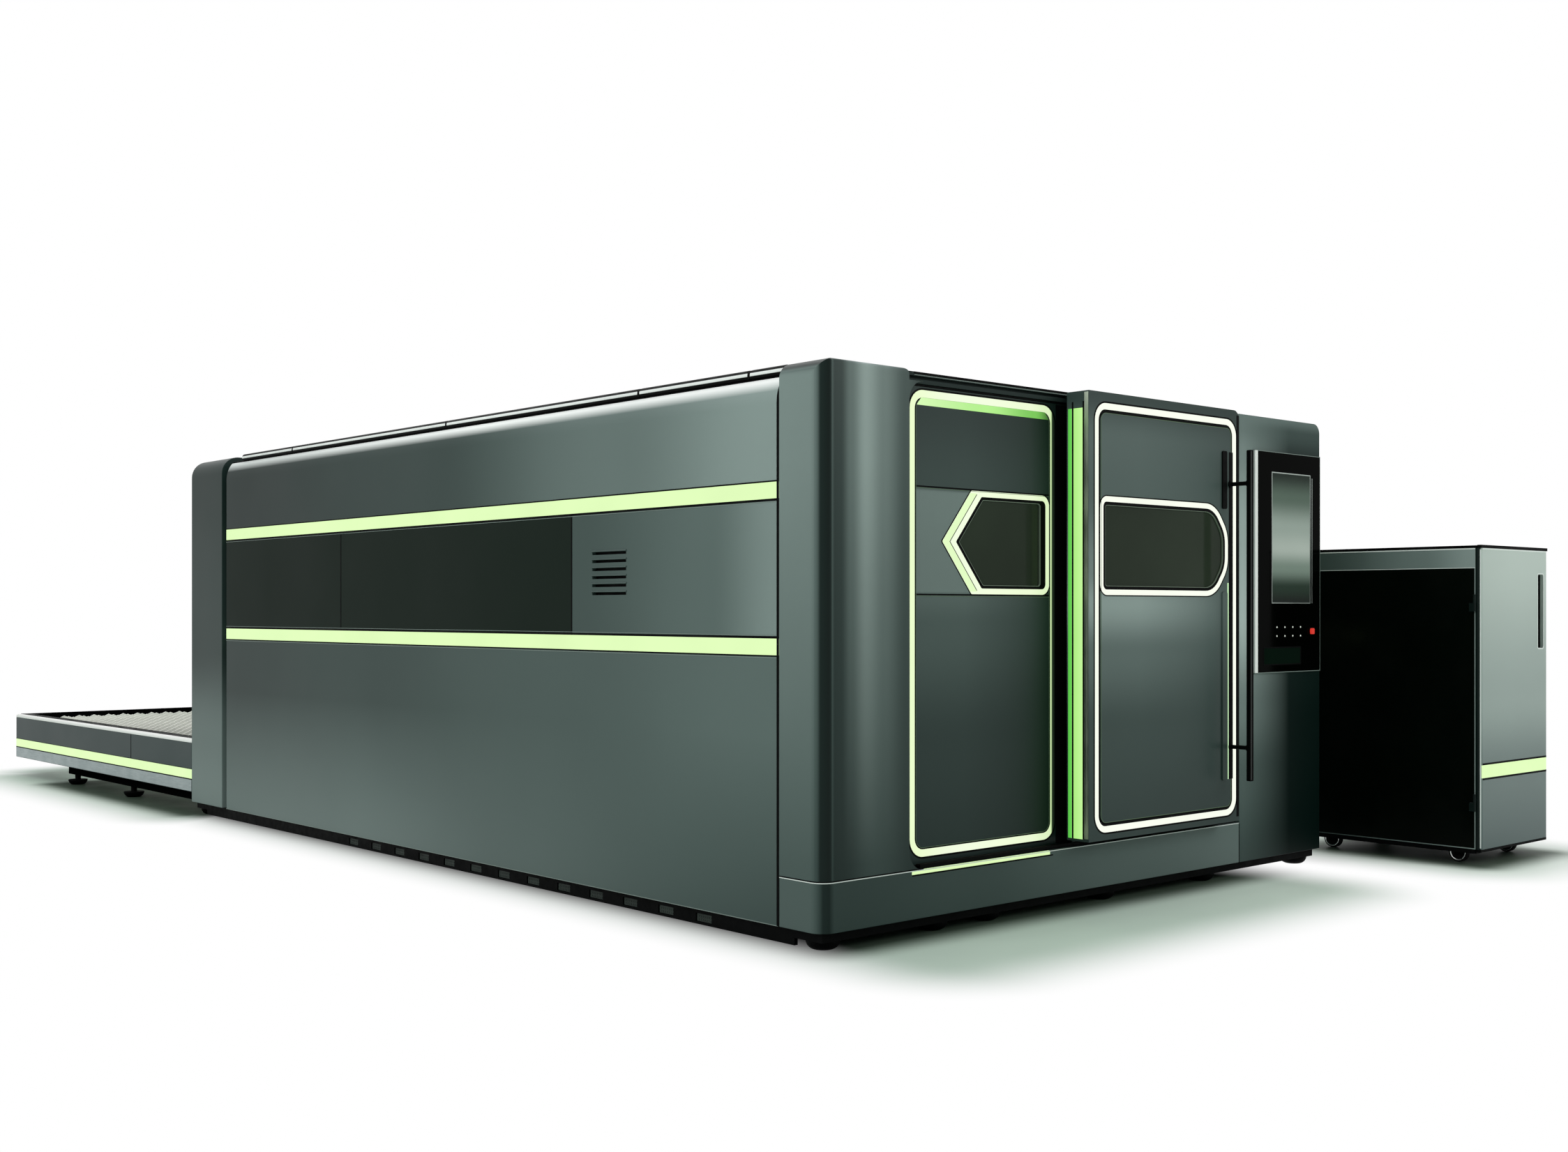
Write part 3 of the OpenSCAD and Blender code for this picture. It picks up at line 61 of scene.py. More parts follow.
def scaled(rgba, factor):
    """A colour made darker or lighter."""
    return tuple(min(1.0, c * factor) for c in rgba[:3]) + (1.0,)


# Material helpers

# The part of a noise texture's range that is spread over the wanted values
NOISE_RANGE = (0.3, 0.7)
# Noise scales and bump depths in metres
DRIFT_SCALE = 0.9
PEEL_SCALE = 420.0
GRAIN_SCALE = 14.0
FINE_DEPTH = 0.0004
COARSE_DEPTH = 0.001


def shader(name, spec=0.5):
    m = bpy.data.materials.new(name)
    m.use_nodes = True
    nt = m.node_tree
    bsdf = nt.nodes["Principled BSDF"]
    bsdf.inputs["Specular IOR Level"].default_value = spec
    coord = nt.nodes.new("ShaderNodeTexCoord").outputs["Object"]
    return m, nt, bsdf, coord


def link(nt, a, b):
    nt.links.new(a, b)


def noise(nt, coord, scale, detail, stretch=None):
    n = nt.nodes.new("ShaderNodeTexNoise")
    n.inputs["Scale"].default_value = scale
    n.inputs["Detail"].default_value = detail
    if stretch:
        mp = nt.nodes.new("ShaderNodeMapping")
        mp.inputs["Scale"].default_value = stretch
        link(nt, coord, mp.inputs["Vector"])
        coord = mp.outputs["Vector"]
    link(nt, coord, n.inputs["Vector"])
    return n.outputs["Fac"]


def spread(nt, value, low, high):
    """Noise mapped to a range of values."""
    r = nt.nodes.new("ShaderNodeMapRange")
    r.inputs["From Min"].default_value = NOISE_RANGE[0]
    r.inputs["From Max"].default_value = NOISE_RANGE[1]
    r.inputs["To Min"].default_value = low
    r.inputs["To Max"].default_value = high
    link(nt, value, r.inputs["Value"])
    return r.outputs["Result"]


def ramp(nt, value, stops):
    r = nt.nodes.new("ShaderNodeValToRGB")
    r.color_ramp.interpolation = "EASE"
    e = r.color_ramp.elements
    while len(e) < len(stops):
        e.new(0.5)
    for i, (pos, rgb) in enumerate(stops):
        e[i].position = pos
        e[i].color = linear(rgb)
    link(nt, value, r.inputs["Fac"])
    return r.outputs["Color"]


def along(nt, coord, axis, start, end):
    """0 to 1 between two places on an axis."""
    s = nt.nodes.new("ShaderNodeSeparateXYZ")
    link(nt, coord, s.inputs["Vector"])
    r = nt.nodes.new("ShaderNodeMapRange")
    r.inputs["From Min"].default_value = start
    r.inputs["From Max"].default_value = end
    link(nt, s.outputs[axis], r.inputs["Value"])
    return r.outputs["Result"]


def blend(nt, factor, a, b, mode="MIX"):
    m = nt.nodes.new("ShaderNodeMix")
    m.data_type = "RGBA"
    m.blend_type = mode
    if isinstance(factor, float):
        m.inputs["Factor"].default_value = factor
    else:
        link(nt, factor, m.inputs["Factor"])
    for socket, value in ((m.inputs[6], a), (m.inputs[7], b)):
        if isinstance(value, tuple):
            socket.default_value = value
        else:
            link(nt, value, socket)
    return m.outputs[2]


def bump(nt, bsdf, height, strength, distance):
    b = nt.nodes.new("ShaderNodeBump")
    b.inputs["Strength"].default_value = strength
    b.inputs["Distance"].default_value = distance
    link(nt, height, b.inputs["Height"])
    link(nt, b.outputs["Normal"], bsdf.inputs["Normal"])


def mottle(nt, bsdf, coord, scale, detail, low, high):
    """Base colour that wanders between two tones."""
    cloud = spread(nt, noise(nt, coord, scale, detail), 0.0, 1.0)
    link(nt, blend(nt, cloud, low, high), bsdf.inputs["Base Color"])


def rub(nt, bsdf, coord, scale, detail, low, high):
    """Roughness that wanders between two values."""
    link(nt, spread(nt, noise(nt, coord, scale, detail), low, high), bsdf.inputs["Roughness"])


def tone(nt, coord, colour, axis, span):
    """One colour, or a list of stops drawn along an axis."""
    if isinstance(colour, list):
        return ramp(nt, along(nt, coord, axis, *span), colour)
    return linear(colour)


def paint(name, colour, rough=0.4, spec=0.12, vary=0.05, peel=0.02, axis="Z", span=(0.0, 1.0), low=None,
          fade=("Z", 0.0, 1.0)):
    """Sprayed powder coat: slow colour drift, orange peel and a rubbed roughness.

    A list of stops paints light and shade into the coat along one axis. A second list, low, takes over
    at the start of the fade axis."""
    m, nt, bsdf, coord = shader(name, spec)
    base = tone(nt, coord, colour, axis, span)
    if low:
        base = blend(nt, along(nt, coord, *fade), tone(nt, coord, low, axis, span), base)
    darker = blend(nt, 1.0, base, even(1 - vary), "MULTIPLY")
    lighter = blend(nt, 1.0, base, even(1 + vary), "MULTIPLY")
    mottle(nt, bsdf, coord, DRIFT_SCALE, 2.0, darker, lighter)
    rub(nt, bsdf, coord, 2.0, 2.0, rough - 0.02, rough + 0.03)
    bump(nt, bsdf, noise(nt, coord, PEEL_SCALE, 2.0), peel, FINE_DEPTH)
    return m


def metal(name, rgb, rough=0.34, stretch=(1.0, 60.0, 60.0), vary=0.08):
    """Ground or brushed metal, with the grain drawn along one axis."""
    m, nt, bsdf, coord = shader(name)
    base = linear(rgb)
    lines = noise(nt, coord, GRAIN_SCALE, 5.0, stretch)
    link(nt, blend(nt, spread(nt, lines, 0.0, 1.0), scaled(base, 1 - vary), scaled(base, 1 + vary)),
         bsdf.inputs["Base Color"])
    rub(nt, bsdf, coord, 9.0, 4.0, rough - 0.07, rough + 0.1)
    bsdf.inputs["Metallic"].default_value = 1.0
    bump(nt, bsdf, lines, 0.08, FINE_DEPTH)
    return m


def rubber(name, rgb, rough=0.75, scale=260.0, strength=0.25, spec=0.2):
    """Matt black moulding with worn tones and a fine grain."""
    m, nt, bsdf, coord = shader(name, spec)
    base = linear(rgb)
    mottle(nt, bsdf, coord, 7.0, 3.0, scaled(base, 0.8), scaled(base, 1.3))
    rub(nt, bsdf, coord, 30.0, 3.0, rough - 0.08, rough + 0.08)
    bump(nt, bsdf, noise(nt, coord, scale, 2.0), strength, COARSE_DEPTH)
    return m


def gloss(name, rgb, rough, spec, vary=0.2):
    """Back-painted glass or gloss plastic, with faint smears in its shine."""
    m, nt, bsdf, coord = shader(name, spec)
    base = linear(rgb)
    mottle(nt, bsdf, coord, 2.2, 3.0, scaled(base, 1 - vary), scaled(base, 1 + vary))
    rub(nt, bsdf, coord, 5.0, 5.0, rough * 0.7, rough * 1.6)
    return m


def lamp(name, colour, strength=1.0, axis="Z", span=(0.0, 1.0), vary=0.05, spec=0.1, base=0.02):
    """Glow that drifts a little along its length: a lit opal strip or screen, or light painted on a surface.
    """
    m, nt, bsdf, coord = shader(name, spec)
    glow = tone(nt, coord, colour, axis, span)
    drift = spread(nt, noise(nt, coord, 3.0, 2.0), 0.0, 1.0)
    dim = blend(nt, 1.0, glow, even(1 - vary), "MULTIPLY")
    link(nt, blend(nt, drift, dim, glow), bsdf.inputs["Emission Color"])
    bsdf.inputs["Emission Strength"].default_value = strength
    bsdf.inputs["Base Color"].default_value = even(base)
    rub(nt, bsdf, coord, 60.0, 2.0, 0.4, 0.55)
    return m


def tinted(name, rgb, alpha):
    """Laser safety window: deep olive sheet that lets a little light through."""
    m, nt, bsdf, coord = shader(name, 0.05)
    base = linear(rgb)
    mottle(nt, bsdf, coord, 1.8, 2.0, scaled(base, 0.82), scaled(base, 1.18))
    rub(nt, bsdf, coord, 8.0, 4.0, 0.06, 0.14)
    bsdf.inputs["Alpha"].default_value = alpha
    return m


def green_grey(*levels):
    """Ramp stops in the machine's grey-green, from pairs of position and red level."""
    return [(pos, (v, v + 15, v + 12)) for pos, v in levels]


# Materials of the CAD nodes

FRONT_TO_REAR = dict(axis="Y", span=(-3.88, 0.92))
BODY_HEIGHT = (0.07, 2.1)
PAINT = paint("paint_grey_green", (68, 82, 78))
# Side panels with painted light: lighter towards the front, and near the floor lighter towards the rear
SIDE = paint("paint_side", green_grey((0.0, 90), (0.3, 72), (0.65, 52), (1.0, 36)), **FRONT_TO_REAR,
             fade=("Z", 0.1, 0.75), low=green_grey((0.0, 64), (0.35, 86), (0.7, 106), (1.0, 106)))
# Upper panels with painted light: lighter towards the front, with a white highlight painted along the top of
# the shoulder
SHOULDER = paint("paint_shoulder", green_grey((0.0, 134), (0.2, 100), (0.5, 46), (1.0, 22)), **FRONT_TO_REAR,
                 fade=("Z", 2.042, 2.004),
                 low=[(0.0, (240, 243, 242)), (0.4, (234, 238, 236)), (1.0, (206, 212, 210))])
DARK = paint("paint_dark_band", (12, 25, 18), rough=0.5, spec=0.05)
# Vent panel with painted light, lighter towards the front
VENT = paint("paint_vent", green_grey((0.0, 124), (0.3, 88), (1.0, 60)), axis="Y", span=(-3.88, -2.57))
BLACK = rubber("trim_black", (4, 5, 5), rough=0.55, strength=0.08, spec=0.03)
LIME = lamp("light_lime", (224, 253, 186))
RIGHT_LIGHT = lamp("light_right_leaf", axis="Y", span=(-4.2, -4.08), colour=[
    (0.0, (250, 254, 240)), (0.15, (250, 254, 240)), (0.25, (196, 248, 156)), (0.68, (176, 240, 132)),
    (0.8, (96, 208, 78)), (1.0, (70, 170, 58))])
LEFT_LIGHT = lamp("light_left_leaf", axis="X", span=(-1.71, -0.86), colour=[
    (0.0, (236, 254, 204)), (0.3, (244, 255, 226)), (0.8, (238, 252, 214)), (0.962, (224, 246, 196)),
    (0.974, (206, 236, 172)), (0.982, (10, 34, 12)), (1.0, (3, 8, 4))])
# Glowing green painted as the highlight the door ring's light throws on a panel edge
GREEN_HIGHLIGHT = lamp("painted_green_highlight", (196, 238, 184), 0.9)
GLASS = tinted("window_olive", (44, 53, 42), 0.99)
CONSOLE = gloss("console_glass", (2, 3, 2), 0.06, 0.01)
SCREEN = lamp("console_screen", span=(1.246, 1.846), spec=0.02, colour=[
    (0.0, (2, 12, 6)), (0.12, (20, 40, 28)), (0.27, (106, 124, 112)), (0.42, (158, 171, 161)),
    (0.58, (140, 155, 145)), (0.81, (76, 94, 82)), (1.0, (14, 28, 20))])
STATUS = lamp("status_screen", (2, 18, 9), 0.8, vary=0.3, spec=0.0, base=0.003)
LENS = lamp("button_lens", (236, 246, 232), 0.95)
RED = lamp("stop_light", (226, 52, 38), 0.85)
BED = paint("bed_paint", (86, 97, 95), rough=0.5, peel=0.05)
UNDER = paint("table_frame_black", (4, 5, 5), rough=0.5, spec=0.0, peel=0.05)
STEEL = metal("ground_steel", (176, 179, 178), stretch=(60.0, 1.0, 60.0))
ALLOY = metal("head_alloy", (206, 210, 209), rough=0.3, stretch=(30.0, 30.0, 2.0))
SLAT = paint("pallet_steel", (242, 244, 236), rough=0.42, vary=0.14, peel=0.05)
# Pale rim colour, also used for a highlight painted down the console's left side
PALE_RIM_AND_HIGHLIGHT = paint("pale_rim_and_painted_highlight", (244, 246, 243), rough=0.3, vary=0.03)
TREAD = rubber("tread", (14, 14, 14), spec=0.12)
# Roof covers with painted light: a white highlight painted along their sides, between dark bands painted at
# the gap below and along the top edge
ROOF = paint("roof_cover", span=(2.064, 2.1), spec=0.02, colour=[
    (0.0, (4, 5, 5)), (0.26, (8, 9, 9)), (0.34, (226, 230, 228)), (0.58, (236, 239, 238)),
    (0.67, (10, 12, 11)), (0.97, (4, 5, 5)), (1.0, (54, 62, 60))])
# Left leaf with painted light and shade: brightest across its lighter middle panel, darker towards the
# bottom, the top and the right edge
LEAF_IN = paint("leaf_inner", span=(0.26, 2.05), fade=("X", -0.9, -1.4),
                colour=green_grey((0.0, 36), (0.25, 46), (0.5, 78), (0.565, 92), (0.57, 116), (0.78, 120),
                                  (0.79, 58), (1.0, 38)),
                low=green_grey((0.0, 18), (0.3, 24), (0.56, 38), (0.57, 48), (0.78, 48), (0.79, 36),
                               (1.0, 22)))
# Right leaf with painted light: a highlight painted just below the window, darker towards the top, the bottom
# and the right edge
LEAF_OUT = paint("leaf_outer", span=(0.28, 2.09), rough=0.34, fade=("X", 0.2, -0.5),
                 colour=green_grey((0.0, 48), (0.25, 60), (0.42, 96), (0.53, 150), (0.6, 122), (0.78, 86),
                                   (0.9, 90), (1.0, 50)),
                 low=green_grey((0.0, 40), (0.3, 50), (0.53, 76), (0.78, 64), (0.9, 62), (1.0, 40)))
# Cabinet with painted light: bright on the left and brightest at mid height, near black on the right, lighter
# again at the top edge
CABINET = paint("cabinet", span=BODY_HEIGHT, rough=0.36, spec=0.05, fade=("X", 0.78, 0.4),
                colour=green_grey((0.0, 60), (0.2, 84), (0.35, 120), (0.55, 180), (0.75, 166), (0.92, 128),
                                  (0.97, 112), (1.0, 112)),
                low=green_grey((0.0, 0), (0.3, 6), (0.44, 12), (0.75, 16), (0.92, 34), (0.97, 60),
                               (1.0, 100)))
# Plinth with painted light and shade: a dark band painted at the rounded corner, lighter towards the right
PLINTH = paint("plinth", axis="X", span=(-2.206, 0.37),
               colour=green_grey((0.0, 80), (0.003, 60), (0.008, 22), (0.016, 18), (0.022, 50), (0.3, 58),
                                 (0.7, 84), (1.0, 94)))
HEADER = paint("header", (34, 46, 44), rough=0.45, spec=0.06)
# Corner post with painted light and shade: a dark band painted down the rounded corner, a highlight painted
# across the front face, darker towards the bottom
POST = paint("post", axis="X", span=(-2.206, -1.691), rough=0.36, fade=("Z", 0.3, 1.75),
             colour=green_grey((0.0, 122), (0.01, 96), (0.028, 20), (0.075, 10), (0.09, 20), (0.1, 78),
                               (0.12, 46), (0.18, 50), (0.28, 108), (0.42, 160), (0.6, 122), (0.82, 72),
                               (1.0, 40)),
             low=green_grey((0.0, 76), (0.01, 60), (0.028, 14), (0.075, 8), (0.09, 14), (0.1, 50), (0.12, 28),
                            (0.18, 30), (0.5, 58), (1.0, 30)))
# Rear portal with painted light, lighter towards the bottom
PORTAL = paint("portal", green_grey((0.0, 116), (0.2, 98), (0.45, 42), (1.0, 28)), span=BODY_HEIGHT)
SKIRT = paint("skirt", (40, 57, 56))
# Cooler cabinet with painted light, lighter towards the front; black on the part left of its side face
CHILL = paint("cooler_grey", green_grey((0.0, 140), (0.3, 112), (1.0, 74)), axis="Y", span=(-4.65, -3.78),
              fade=("X", 1.4995, 1.5005), low=green_grey((0.0, 0), (1.0, 0)))
# Cooler door with painted light, lighter towards the top; black along its left side edge
CHILL_DOOR = paint("cooler_door", span=(0.08, 1.5), rough=0.34, fade=("X", 1.506, 1.511),
                   colour=[(0.0, (90, 105, 104)), (0.25, (110, 124, 122)), (0.5, (152, 165, 161)),
                           (1.0, (186, 198, 192))],
                   low=green_grey((0.0, 0), (1.0, 8)))

# Each CAD node's material and the width of its rounded edges in millimetres
FINISH = {
    "base_pan": (BLACK, 3), "levelling_feet": (BLACK, 2), "bed_frame": (BED, 3), "guide_rails": (STEEL, 1),
    "front_plinth": (PLINTH, 3), "front_post": (POST, 3), "front_header": (HEADER, 4),
    "door_frame": (BLACK, 2), "light_stripes": (LIME, 1), "left_lower_panel": (SIDE, 3),
    "left_vent_panel": (VENT, 1.5), "left_dark_panels": (DARK, 2), "left_upper_panel": (SHOULDER, 3),
    "right_lower_panel": (SIDE, 3), "right_centre_panel": (DARK, 2), "right_upper_panel": (SHOULDER, 3),
    "rear_portal": (PORTAL, 4), "portal_seal": (BLACK, 2), "roof_deck": (BLACK, 2), "roof_covers": (ROOF, 4),
    "control_cabinet": (CABINET, 4), "console_panel": (CONSOLE, 1.5), "console_screen": (SCREEN, 0.5),
    "status_display": (STATUS, 0.5), "stop_button": (RED, 1), "left_door": (LEAF_IN, 2),
    "left_door_window": (GLASS, 1), "left_door_lights": (LEFT_LIGHT, 1), "right_door": (LEAF_OUT, 2.5),
    "right_door_window": (GLASS, 1), "right_door_lights": (RIGHT_LIGHT, 1), "right_door_handle": (BLACK, 2),
    "gantry_beam": (BED, 3), "head_carriage": (PAINT, 3), "cutting_head": (ALLOY, 1.5),
    "laser_source": (PAINT, 4), "table_frame": (UNDER, 3), "table_skirt": (SKIRT, 2), "table_rim": (PALE_RIM_AND_HIGHLIGHT, 2.5),
    "upper_pallet": (SLAT, 0.8), "lower_pallet": (SLAT, 0.8), "chiller_cabinet": (CHILL, 3),
    "chiller_door": (CHILL_DOOR, 3), "chiller_stripe": (LIME, 1),
}
BUTTONS, CASTERS = 8, 4
for i in range(1, BUTTONS + 1):
    FINISH[f"control_button_{i}"] = (BLACK, 0.5)
for i in range(1, CASTERS + 1):
    FINISH[f"caster_fork_{i}"] = (BLACK, 1.5)
    FINISH[f"caster_wheel_{i}"] = (TREAD, 2)

# Rounded edges

SHARP_ANGLE = math.radians(40)
BEVEL_ANGLE = math.radians(35)
BEVEL_SEGMENTS = 2
FLAT_ANGLE = math.radians(0.6)
WELD_DISTANCE = 0.00001


def smooth_group():
    """Smooth shading on every face, kept sharp at edges over the sharp angle."""
    g = bpy.data.node_groups.new("smooth_by_angle", "GeometryNodeTree")
    g.interface.new_socket("Geometry", in_out="INPUT", socket_type="NodeSocketGeometry")
    g.interface.new_socket("Geometry", in_out="OUTPUT", socket_type="NodeSocketGeometry")
    first = g.nodes.new("NodeGroupInput")
    last = g.nodes.new("NodeGroupOutput")
    drop = g.nodes.new("GeometryNodeRemoveAttribute")
    drop.inputs["Name"].default_value = "custom_normal"
    angle = g.nodes.new("GeometryNodeInputMeshEdgeAngle")
    flat = g.nodes.new("FunctionNodeCompare")
    flat.operation = "LESS_THAN"
    flat.inputs["B"].default_value = SHARP_ANGLE
    faces = g.nodes.new("GeometryNodeSetShadeSmooth")
    faces.domain = "FACE"
    edges = g.nodes.new("GeometryNodeSetShadeSmooth")
    edges.domain = "EDGE"
    g.links.new(first.outputs[0], drop.inputs["Geometry"])
    g.links.new(drop.outputs["Geometry"], faces.inputs["Geometry"])
    g.links.new(faces.outputs["Geometry"], edges.inputs["Geometry"])
    g.links.new(angle.outputs["Unsigned Angle"], flat.inputs["A"])
    g.links.new(flat.outputs["Result"], edges.inputs["Shade Smooth"])
    g.links.new(edges.outputs["Geometry"], last.inputs[0])
    return g


SMOOTH = smooth_group()


def smooth(obj):
    obj.modifiers.new("smooth", "NODES").node_group = SMOOTH


def soften(obj, width, dissolve):
    """Small rounded edges that catch the light, as a modifier stack."""
    if dissolve:
        weld = obj.modifiers.new("weld", "WELD")
        weld.merge_threshold = WELD_DISTANCE
        flat = obj.modifiers.new("flat", "DECIMATE")
        flat.decimate_type = "DISSOLVE"
        flat.angle_limit = FLAT_ANGLE
    bev = obj.modifiers.new("edge", "BEVEL")
    bev.width = width / MM_PER_M
    bev.segments = BEVEL_SEGMENTS
    bev.limit_method = "ANGLE"
    bev.angle_limit = BEVEL_ANGLE
    bev.use_clamp_overlap = True
    smooth(obj)
    wn = obj.modifiers.new("normals", "WEIGHTED_NORMAL")
    wn.keep_sharp = True


for name, (material, edge) in FINISH.items():
    obj = nodes[name]
    obj.data.materials.clear()
    obj.data.materials.append(material)
    soften(obj, edge, True)

# Shapes for the added pieces

ARC_STEPS = 8
LEAST_RADIUS = 0.2


def spot(plane, u, v, w):
    """A point of an outline: front is X and Z with depth in Y, side is Y and Z, top is X and Y."""
    if plane == "front":
        return at(u, w, v)
    if plane == "side":
        return at(w, u, v)
    return at(u, v, w)


def arc(cu, cv, r, a0, a1):
    turns = [math.radians(a0 + (a1 - a0) * i / ARC_STEPS) for i in range(ARC_STEPS + 1)]
    return [(cu + r * math.cos(a), cv + r * math.sin(a)) for a in turns]


def round_rect(u0, u1, v0, v1, r):
    """A rectangle with rounded corners: one radius, or four from the low corner counter-clockwise."""
    if not isinstance(r, (list, tuple)):
        r = (r, r, r, r)
    r = [max(q, LEAST_RADIUS) for q in r]
    return (arc(u0 + r[0], v0 + r[0], r[0], 180, 270) + arc(u1 - r[1], v0 + r[1], r[1], 270, 360)
            + arc(u1 - r[2], v1 - r[2], r[2], 0, 90) + arc(u0 + r[3], v1 - r[3], r[3], 90, 180))


def within(span, inset):
    """A span narrowed at both ends."""
    return (span[0] + inset, span[1] - inset)


def soft_outline(points, radii):
    """A convex outline, counter-clockwise, with rounded corners."""
    out = []
    count = len(points)
    for i, (p, r) in enumerate(zip(points, radii)):
        p = Vector(p)
        a = (Vector(points[i - 1]) - p).normalized()
        b = (Vector(points[(i + 1) % count]) - p).normalized()
        half = a.angle(b) / 2
        start = p + a * (r / math.tan(half))
        end = p + b * (r / math.tan(half))
        mid = p + (a + b).normalized() * (r / math.sin(half))
        v0, v1 = start - mid, end - mid
        for k in range(ARC_STEPS + 1):
            d = v0.lerp(v1, k / ARC_STEPS).normalized() * r
            out.append((mid.x + d.x, mid.y + d.y))
    return out


class Form:
    """Gathers solids into one piece."""

    def __init__(self):
        self.bm = bmesh.new()

    def slab(self, plane, outline, w0, w1):
        """An outline between two depths."""
        a = [self.bm.verts.new(spot(plane, u, v, w0)) for u, v in outline]
        b = [self.bm.verts.new(spot(plane, u, v, w1)) for u, v in outline]
        self.bm.faces.new(a)
        self.bm.faces.new(b)
        for i in range(len(a)):
            j = (i + 1) % len(a)
            self.bm.faces.new((a[i], a[j], b[j], b[i]))
        return self

    def band(self, plane, outer, inner, w0, w1):
        """A closed frame between two outlines of equally many points."""
        loops = [[self.bm.verts.new(spot(plane, u, v, w)) for u, v in line]
                 for line, w in ((outer, w0), (outer, w1), (inner, w1), (inner, w0))]
        for k in range(4):
            a, b = loops[k], loops[(k + 1) % 4]
            for i in range(len(a)):
                j = (i + 1) % len(a)
                self.bm.faces.new((a[i], a[j], b[j], b[i]))
        return self

    def border(self, x, z, width, radii, y):
        """A border of one width inside a front rectangle, with outer and inner corner radii."""
        inner = round_rect(*within(x, width), *within(z, width), radii[1])
        return self.band("front", round_rect(*x, *z, radii[0]), inner, *y)

    def strip(self, plane, first, second, w0, w1):
        """An open ribbon between two lines of points."""
        return self.slab(plane, list(first) + list(reversed(second)), w0, w1)

    def box(self, x, y, z):
        return self.slab("front", [(x[0], z[0]), (x[1], z[0]), (x[1], z[1]), (x[0], z[1])], y[0], y[1])

    def lathe(self, centre, axis, profile, n):
        """A turned shape of n sides: profile points are (radius, distance along the axis)."""
        k = "xyz".index(axis)
        rings = []
        for r, t in profile:
            ring = []
            for i in range(n if r > 0 else 1):
                a = 2 * math.pi * i / n
                p = [0.0, 0.0, 0.0]
                p[k] = t
                p[(k + 1) % 3] = r * math.cos(a)
                p[(k + 2) % 3] = r * math.sin(a)
                ring.append(self.bm.verts.new(at(*(c + d for c, d in zip(centre, p)))))
            rings.append(ring)
        for a, b in zip(rings, rings[1:]):
            for i in range(n):
                j = (i + 1) % n
                quad = [a[i % len(a)], a[j % len(a)], b[j % len(b)], b[i % len(b)]]
                keep = [v for q, v in enumerate(quad) if v not in quad[:q]]
                if len(keep) > 2:
                    self.bm.faces.new(keep)
        for ring in (rings[0], rings[-1]):
            if len(ring) > 2:
                self.bm.faces.new(ring)
        return self

    def piece(self, name, material, body, slot, edge=0.0):
        """The finished object, riding on a body, with edges rounded by a width in millimetres."""
        bmesh.ops.recalc_face_normals(self.bm, faces=self.bm.faces)
        mesh = bpy.data.meshes.new(name)
        self.bm.to_mesh(mesh)
        self.bm.free()
        mesh.materials.append(material)
        obj = bpy.data.objects.new(name, mesh)
        scene.collection.objects.link(obj)
        if edge:
            soften(obj, edge, False)
        else:
            smooth(obj)
        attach(obj, body)
        return obj


SCREW_H = 4.0
SCREW_SIDES = 12


def screws(form, places, axis, sign, r=7.0):
    """Button-head screws with a socket, standing on a face."""
    h = SCREW_H
    dome = [(r, 0.0), (r, h * 0.35), (r * 0.86, h * 0.72), (r * 0.6, h * 0.95), (r * 0.5, h)]
    socket = [(r * 0.46, h * 0.3), (0.0, h * 0.3)]
    for p in places:
        form.lathe(p, axis, [(q, sign * t) for q, t in dome + socket], SCREW_SIDES)


def skin(face, out, proud, sunk):
    """X range of a thin strip on a side face, proud of it and sunk into it by some distances."""
    return sorted((face + out * proud, face - out * sunk))


# Materials of the added pieces

# Pale paint for highlights painted along edges
PALE_HIGHLIGHT = paint("painted_highlight_pale", (222, 229, 226), rough=0.3, vary=0.04)
BRIGHT = metal("edge_polished", (232, 236, 234), rough=0.22, stretch=(40.0, 40.0, 1.0), vary=0.04)
GUN = metal("leaf_edge_metal", (168, 180, 164), rough=0.4, stretch=(60.0, 60.0, 1.0), vary=0.25)
DEEP = paint("line_dark_green", (12, 34, 16), rough=0.5, vary=0.2)
# Green glow of the ring's light, painted on the left leaf under the ring's top
PAINTED_RING_GLOW = lamp("painted_ring_glow", axis="X", span=(-1.7, -0.87), colour=[
    (0.0, (214, 252, 180)), (0.5, (178, 240, 138)), (0.86, (120, 200, 84)), (1.0, (22, 60, 20))])
PALE_GREEN = lamp("light_pale_green", (228, 254, 196))
COPPER = metal("nozzle_copper", (196, 120, 84), rough=0.28, stretch=(30.0, 30.0, 2.0))
MESH = rubber("slot_mesh", (44, 52, 48), rough=0.6, scale=420.0, strength=0.6)
# Grey for highlights painted along edges
PAINTED_HIGHLIGHT_GREY = paint("painted_highlight_grey", (120, 133, 128), rough=0.35)
SCREEN_METAL = metal("screen_border_metal", (150, 160, 154), rough=0.35)
# Green painted along panel edges as the highlight of the door rings' light
GREEN_EDGE_HIGHLIGHT = paint("painted_green_edge_highlight", (96, 118, 92), rough=0.4)
WINDOW_LINE = paint("window_line", (118, 132, 116), rough=0.3)
# Dark metal for a highlight painted down the handle's front
HIGHLIGHT_METAL = metal("painted_handle_highlight", (58, 62, 60), rough=0.3)
BRUSHED = metal("brushed_band", (148, 160, 160), rough=0.45, stretch=(60.0, 1.0, 60.0), vary=0.2)
INSERT = gloss("cooler_side_black", (3, 7, 4), 0.25, 0.03)

# Machine envelope and the ends of its side panels
WIDTH, LENGTH = 3256.0, 5520.0
PANEL_Y0, PANEL_Y1 = 225.0, 5020.0
SIDES = ((0.0, -1.0), (WIDTH, 1.0))

